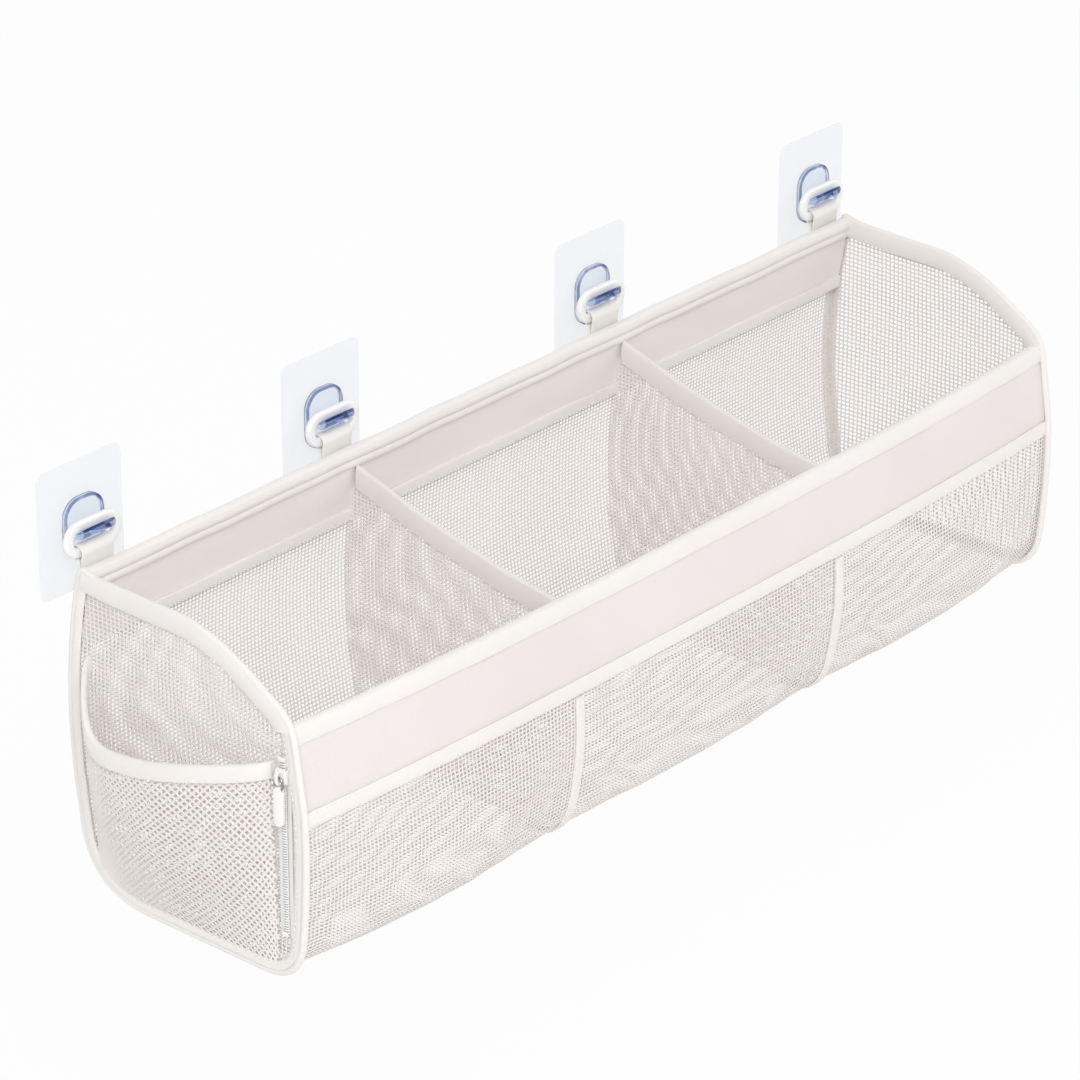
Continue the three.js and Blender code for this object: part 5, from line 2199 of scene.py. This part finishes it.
@dataclass
class SideZip:
    """The zip on the left end: tapes, coil, stops, slider and its pull."""

    y: float = -173.5
    face_x: float = -350.3
    low: float = 26.0
    high: float = 140.0
    tape_width: float = 2.6
    tape_gap: float = 0.3
    tape_stand: float = 0.45
    tape_bow: float = 0.12
    tape_thick: float = 0.7
    tape_steps: tuple[int, int] = (5, 60)
    coil_width: float = 4.2
    coil_height: float = 2.1
    coil_wire: float = 0.42
    coil_pitch: float = 1.6
    coil_inset: float = 1.0
    coil_steps: int = 14
    coil_sides: int = 6
    wire_sharp: float = 80.0
    stop: RoundedPlate = RoundedPlate(
        width=5.2,
        height=3.0,
        corner=1.0,
        rim=((0.3, 0.0), (0.0, 0.25), (0.0, 0.5), (0.35, 0.9), (0.7, 0.9)),
        steps=4,
    )
    stop_stand: float = 2.4
    slider: RoundedPlate = RoundedPlate(
        width=8.6,
        height=10.0,
        corner=2.6,
        rim=((0.3, 0.0), (0.0, 0.3), (0.0, 1.2), (0.3, 1.65), (0.8, 1.8)),
        waist=0.12,
    )
    slider_x: float = -352.7
    slider_z: float = 128.0
    slider_sharp: float = 45.0
    rail: RoundedPlate = RoundedPlate(
        width=1.7,
        height=9.0,
        corner=0.7,
        rim=((0.2, 0.0), (0.0, 0.2), (0.0, 1.5)),
        steps=4,
    )
    rail_x: float = -351.5
    rail_away: float = 3.25
    bail: RoundedPlate = RoundedPlate(width=2.4, height=1.3, corner=0.5, steps=4)
    bail_rounds: int = 3
    bail_root: float = -353.9
    bail_x: float = -357.4
    bail_reach: float = 3.8
    pull_x: float = -355.6
    ring_z: float = 124.4
    ring_reach: Pair = (3.3, 3.6)
    ring_wire: float = 0.6
    ring_steps: int = 48
    ring_sides: int = 10
    tab: RoundedPlate = RoundedPlate(
        width=6.6,
        height=25.0,
        corner=3.29,
        rim=((0.9, 0.0), (0.35, 0.15), (0.0, 0.8), (0.0, 2.4), (0.35, 3.05), (0.9, 3.2)),
        steps=10,
    )
    tab_x: float = -354.0
    tab_top: float = 122.35
    eye: float = 0.95
    eye_z: float = 120.8
    eye_sides: int = 16

    def build(self) -> None:
        """Builds the zip's pieces."""
        self.tapes()
        self.coil()
        self.stops()
        self.slide()
        self.pull()

    def upright(self, plate: RoundedPlate, x: float, y: float, z: float) -> Patch:
        """A plate that stands on the end with its face outwards."""
        return plate.solid(INWARD, -ALONG).moved(x, y, z)

    def tapes(self) -> None:
        """Builds the two woven tapes."""
        columns, rows = self.tape_steps
        half = self.tape_width / 2
        beside = np.linspace(-half, half, columns)[:, None]
        z = np.linspace(self.low, self.high, rows)[None, :]
        x = self.face_x - self.tape_stand - self.tape_bow * np.cos(math.pi * beside / self.tape_width)
        for name, sign in (("front", -1), ("rear", 1)):
            middle = self.y + sign * (self.coil_width / 2 + self.tape_gap + half)
            cloth = thick_sheet(grid_of(x, middle + beside, z), self.tape_thick)
            show(cloth, f"zip_{name}_cloth", ZIP_CLOTH, f"zip_{name}_tape")

    def coil(self) -> None:
        """Builds the coil as one wound wire."""
        low = self.low + self.coil_inset
        high = self.high - self.coil_inset
        turns = (high - low) / self.coil_pitch
        turn = np.linspace(0, math.tau * turns, round(self.coil_steps * turns))
        wide = self.coil_width / 2 - self.coil_wire
        deep = self.coil_height / 2 - self.coil_wire
        x = self.face_x - self.coil_height / 2 + deep * np.cos(turn)
        path = np.stack([x, self.y + wide * np.sin(turn), np.linspace(low, high, len(turn))], 1)
        wire = tube(path, self.coil_wire, UP, self.coil_sides)
        show(wire, "zip_wound_coil", WHITE_PLASTIC, "zip_coil", sharp=self.wire_sharp)

    def stops(self) -> None:
        """Builds the crimped stops at both ends of the coil."""
        half = self.stop.height / 2
        for name, z in (("bottom", self.low + half), ("top", self.high - half)):
            crimp = self.upright(self.stop, self.face_x - self.stop_stand, self.y, z)
            show(crimp, f"zip_{name}_crimp", ENAMEL, f"zip_{name}_stop")

    def slide(self) -> None:
        """Builds the slider: a waisted plate, two rails and the bail."""
        solids = [self.upright(self.slider, self.slider_x, self.y, self.slider_z)]
        for sign in (-1, 1):
            rail_y = self.y + sign * self.rail_away
            solids.append(self.upright(self.rail, self.rail_x, rail_y, self.slider_z))
        x = np.array([self.bail_root, self.bail_x, self.bail_x, self.bail_root])
        z = self.bail_reach * np.array([-1, -1, 1, 1])
        bend = eased(np.stack([x, z], 1), self.bail_rounds)
        path = grid_of(bend[:, 0], self.y, self.slider_z + bend[:, 1])
        out = unit(np.cross(np.gradient(path, axis=0), INWARD))
        solids.append(loft(path, INWARD, out, self.bail.outline()))
        show(joined(*solids), "slider_body", ENAMEL, "zip_slider", Body.SLIDER, self.slider_sharp)

    def pull(self) -> None:
        """Builds the wire ring and the white tab that hangs on it."""
        wide, tall = self.ring_reach
        turn = np.linspace(0, math.tau, self.ring_steps, endpoint=False)
        path = grid_of(self.pull_x, self.y + wide * np.sin(turn), self.ring_z + tall * np.cos(turn))
        ring = tube(path, self.ring_wire, ALONG, self.ring_sides, True)
        show(ring, "pull_wire_ring", PLATED, "pull_ring", Body.PULL, self.wire_sharp)
        body = self.upright(self.tab, self.tab_x, self.y, self.tab_top - self.tab.height / 2)
        tab = show(body, "pull_white_tab", WHITE_PLASTIC, "pull_tab", Body.PULL)
        through = self.y + np.linspace(-self.tab.width, self.tab.width, 3)
        hole = tube(grid_of(self.pull_x, through, self.eye_z), self.eye, ALONG, self.eye_sides)
        combine(tab, hole, Change.CUT)


# Camera, light and floor


@dataclass(frozen=True)
class Lamp:
    """A soft square lamp, in metres and watts."""

    name: str
    at: tuple[float, float, float]
    size: float
    power: float


@dataclass
class Studio:
    """A camera at the photograph's angle, soft lamps and a pale floor."""

    azimuth: float = -49.056
    elevation: float = 25.880
    roll: float = 0.094
    distance: float = 3138.58
    pan: Pair = (28.277, 84.449)
    depth_shift: float = -18.0
    focal_pixels: float = 5000.0
    frame_pixels: float = 1080.0
    sensor: float = 36.0
    far_clip: float = 100.0
    floor_z: float = -260.0
    floor_size: float = 16.0
    floor_color: Color = (0.92, 0.92, 0.92)
    floor_drift: Color = (0.9, 0.9, 0.9)
    floor_cloud: float = 2.0
    floor_amount: float = 0.5
    floor_roughness: float = 0.9
    floor_white: float = 0.92
    world_light: float = 0.54
    aim: tuple[float, float, float] = (0.0, -0.09, 0.1)
    lamps: tuple[Lamp, ...] = (
        Lamp("key", (-2.3, -2.1, 2.5), 2.0, 78.0),
        Lamp("fill", (2.4, -2.0, 1.4), 2.4, 20.0),
        Lamp("rear", (0.6, 2.2, 1.8), 2.4, 14.0),
    )

    def build(self) -> None:
        """Builds the camera, lamps, floor and surroundings."""
        self.camera()
        for lamp in self.lamps:
            self.light(lamp)
        self.floor()
        self.surroundings()

    def camera(self) -> None:
        """Sets the camera where the photograph was taken from."""
        turn, rise, roll = (math.radians(value) for value in (self.azimuth, self.elevation, self.roll))
        back = Vector((math.sin(turn) * math.cos(rise), -math.cos(turn) * math.cos(rise), math.sin(rise)))
        flat = Vector((math.cos(turn), math.sin(turn), 0))
        tall = back.cross(flat)
        right = math.cos(roll) * flat + math.sin(roll) * tall
        up = math.cos(roll) * tall - math.sin(roll) * flat
        at = self.pan[0] * right + self.pan[1] * up + self.distance * back
        at.y += self.depth_shift
        data = bpy.data.cameras.new("photo_camera")
        data.lens = self.focal_pixels / self.frame_pixels * self.sensor
        data.sensor_width = self.sensor
        data.clip_end = self.far_clip
        camera = bpy.data.objects.new("photo_camera", data)
        camera.matrix_world = Matrix.Translation(at * MM) @ Matrix((right, up, back)).transposed().to_4x4()
        bpy.context.scene.collection.objects.link(camera)
        bpy.context.scene.camera = camera

    def light(self, lamp: Lamp) -> None:
        """Adds one lamp that looks at the basket.

        Args:
            lamp: The lamp's sizes.
        """
        data = bpy.data.lights.new(lamp.name, "AREA")
        data.size = lamp.size
        data.energy = lamp.power
        made = bpy.data.objects.new(lamp.name, data)
        made.location = lamp.at
        made.rotation_euler = (Vector(self.aim) - Vector(lamp.at)).to_track_quat("-Z", "Y").to_euler()
        bpy.context.scene.collection.objects.link(made)

    @staticmethod
    def seen(tree: NodeTree) -> NodeSocket:
        """Tells the rays that show the background: straight, mirrored or through glass.

        Args:
            tree: The node tree.

        Returns:
            A socket that is 1 for these rays.
        """
        path = place(tree, "ShaderNodeLightPath")
        mirrored = calc(tree, "MAXIMUM", path.outputs["Is Camera Ray"], path.outputs["Is Glossy Ray"])
        return calc(tree, "MAXIMUM", mirrored, path.outputs["Is Transmission Ray"])

    def floor(self) -> None:
        """Builds the floor, which shows white and keeps a soft shadow."""
        half = self.floor_size / 2
        z = self.floor_z * MM
        mesh = bpy.data.meshes.new("studio_floor")
        points = [(-half, -half, z), (half, -half, z), (half, half, z), (-half, half, z)]
        mesh.from_pydata(points, [], [(0, 1, 2, 3)])
        material, tree, shader = new_material("pale_floor", {"Roughness": self.floor_roughness})
        tone = clouded(tree, self.floor_color, self.floor_drift, self.floor_cloud, self.floor_amount)
        tree.links.new(tone, shader.inputs["Base Color"])
        glow = place(tree, "ShaderNodeEmission", {"Strength": 1.0})
        share = calc(tree, "MULTIPLY", self.seen(tree), self.floor_white)
        surface = place(tree, "ShaderNodeMixShader", {0: share, 1: shader.outputs[0], 2: glow.outputs[0]})
        tree.links.new(surface.outputs[0], tree.nodes["Material Output"].inputs["Surface"])
        mesh.materials.append(material)
        floor = bpy.data.objects.new("studio_floor", mesh)
        bpy.context.scene.collection.objects.link(floor)

    def surroundings(self) -> None:
        """Sets an even white world that shows white and lights the object at a plain level."""
        world = bpy.data.worlds.new("studio_white")
        world.use_nodes = True
        tree = world.node_tree
        strength = calc(tree, "MULTIPLY_ADD", self.seen(tree), 1 - self.world_light, self.world_light)
        sky = tree.nodes["Background"]
        sky.inputs["Color"].default_value = rgba((1.0, 1.0, 1.0))
        tree.links.new(strength, sky.inputs["Strength"])
        bpy.context.scene.world = world
        bpy.context.scene.view_settings.view_transform = "Standard"


# The whole object

HOOK_XS = (-333.0, -135.0, 110.0, 333.0)


def main() -> None:
    """Builds every sub-assembly in order."""
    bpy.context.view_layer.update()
    assemblies = [
        Studio(),
        BackPanel(),
        FrontBand(),
        MeshWrap(),
        *(EndPanel(side) for side in Side),
        *(Divider(number, x) for number, x in enumerate(FORM.divider_xs, 1)),
        EndPocket(),
        *(HangingSet(number, x) for number, x in enumerate(HOOK_XS, 1)),
        SideZip(),
    ]
    for assembly in assemblies:
        LOG.info("building %s", type(assembly).__name__)
        assembly.build()


if __name__ == "__main__":
    main()
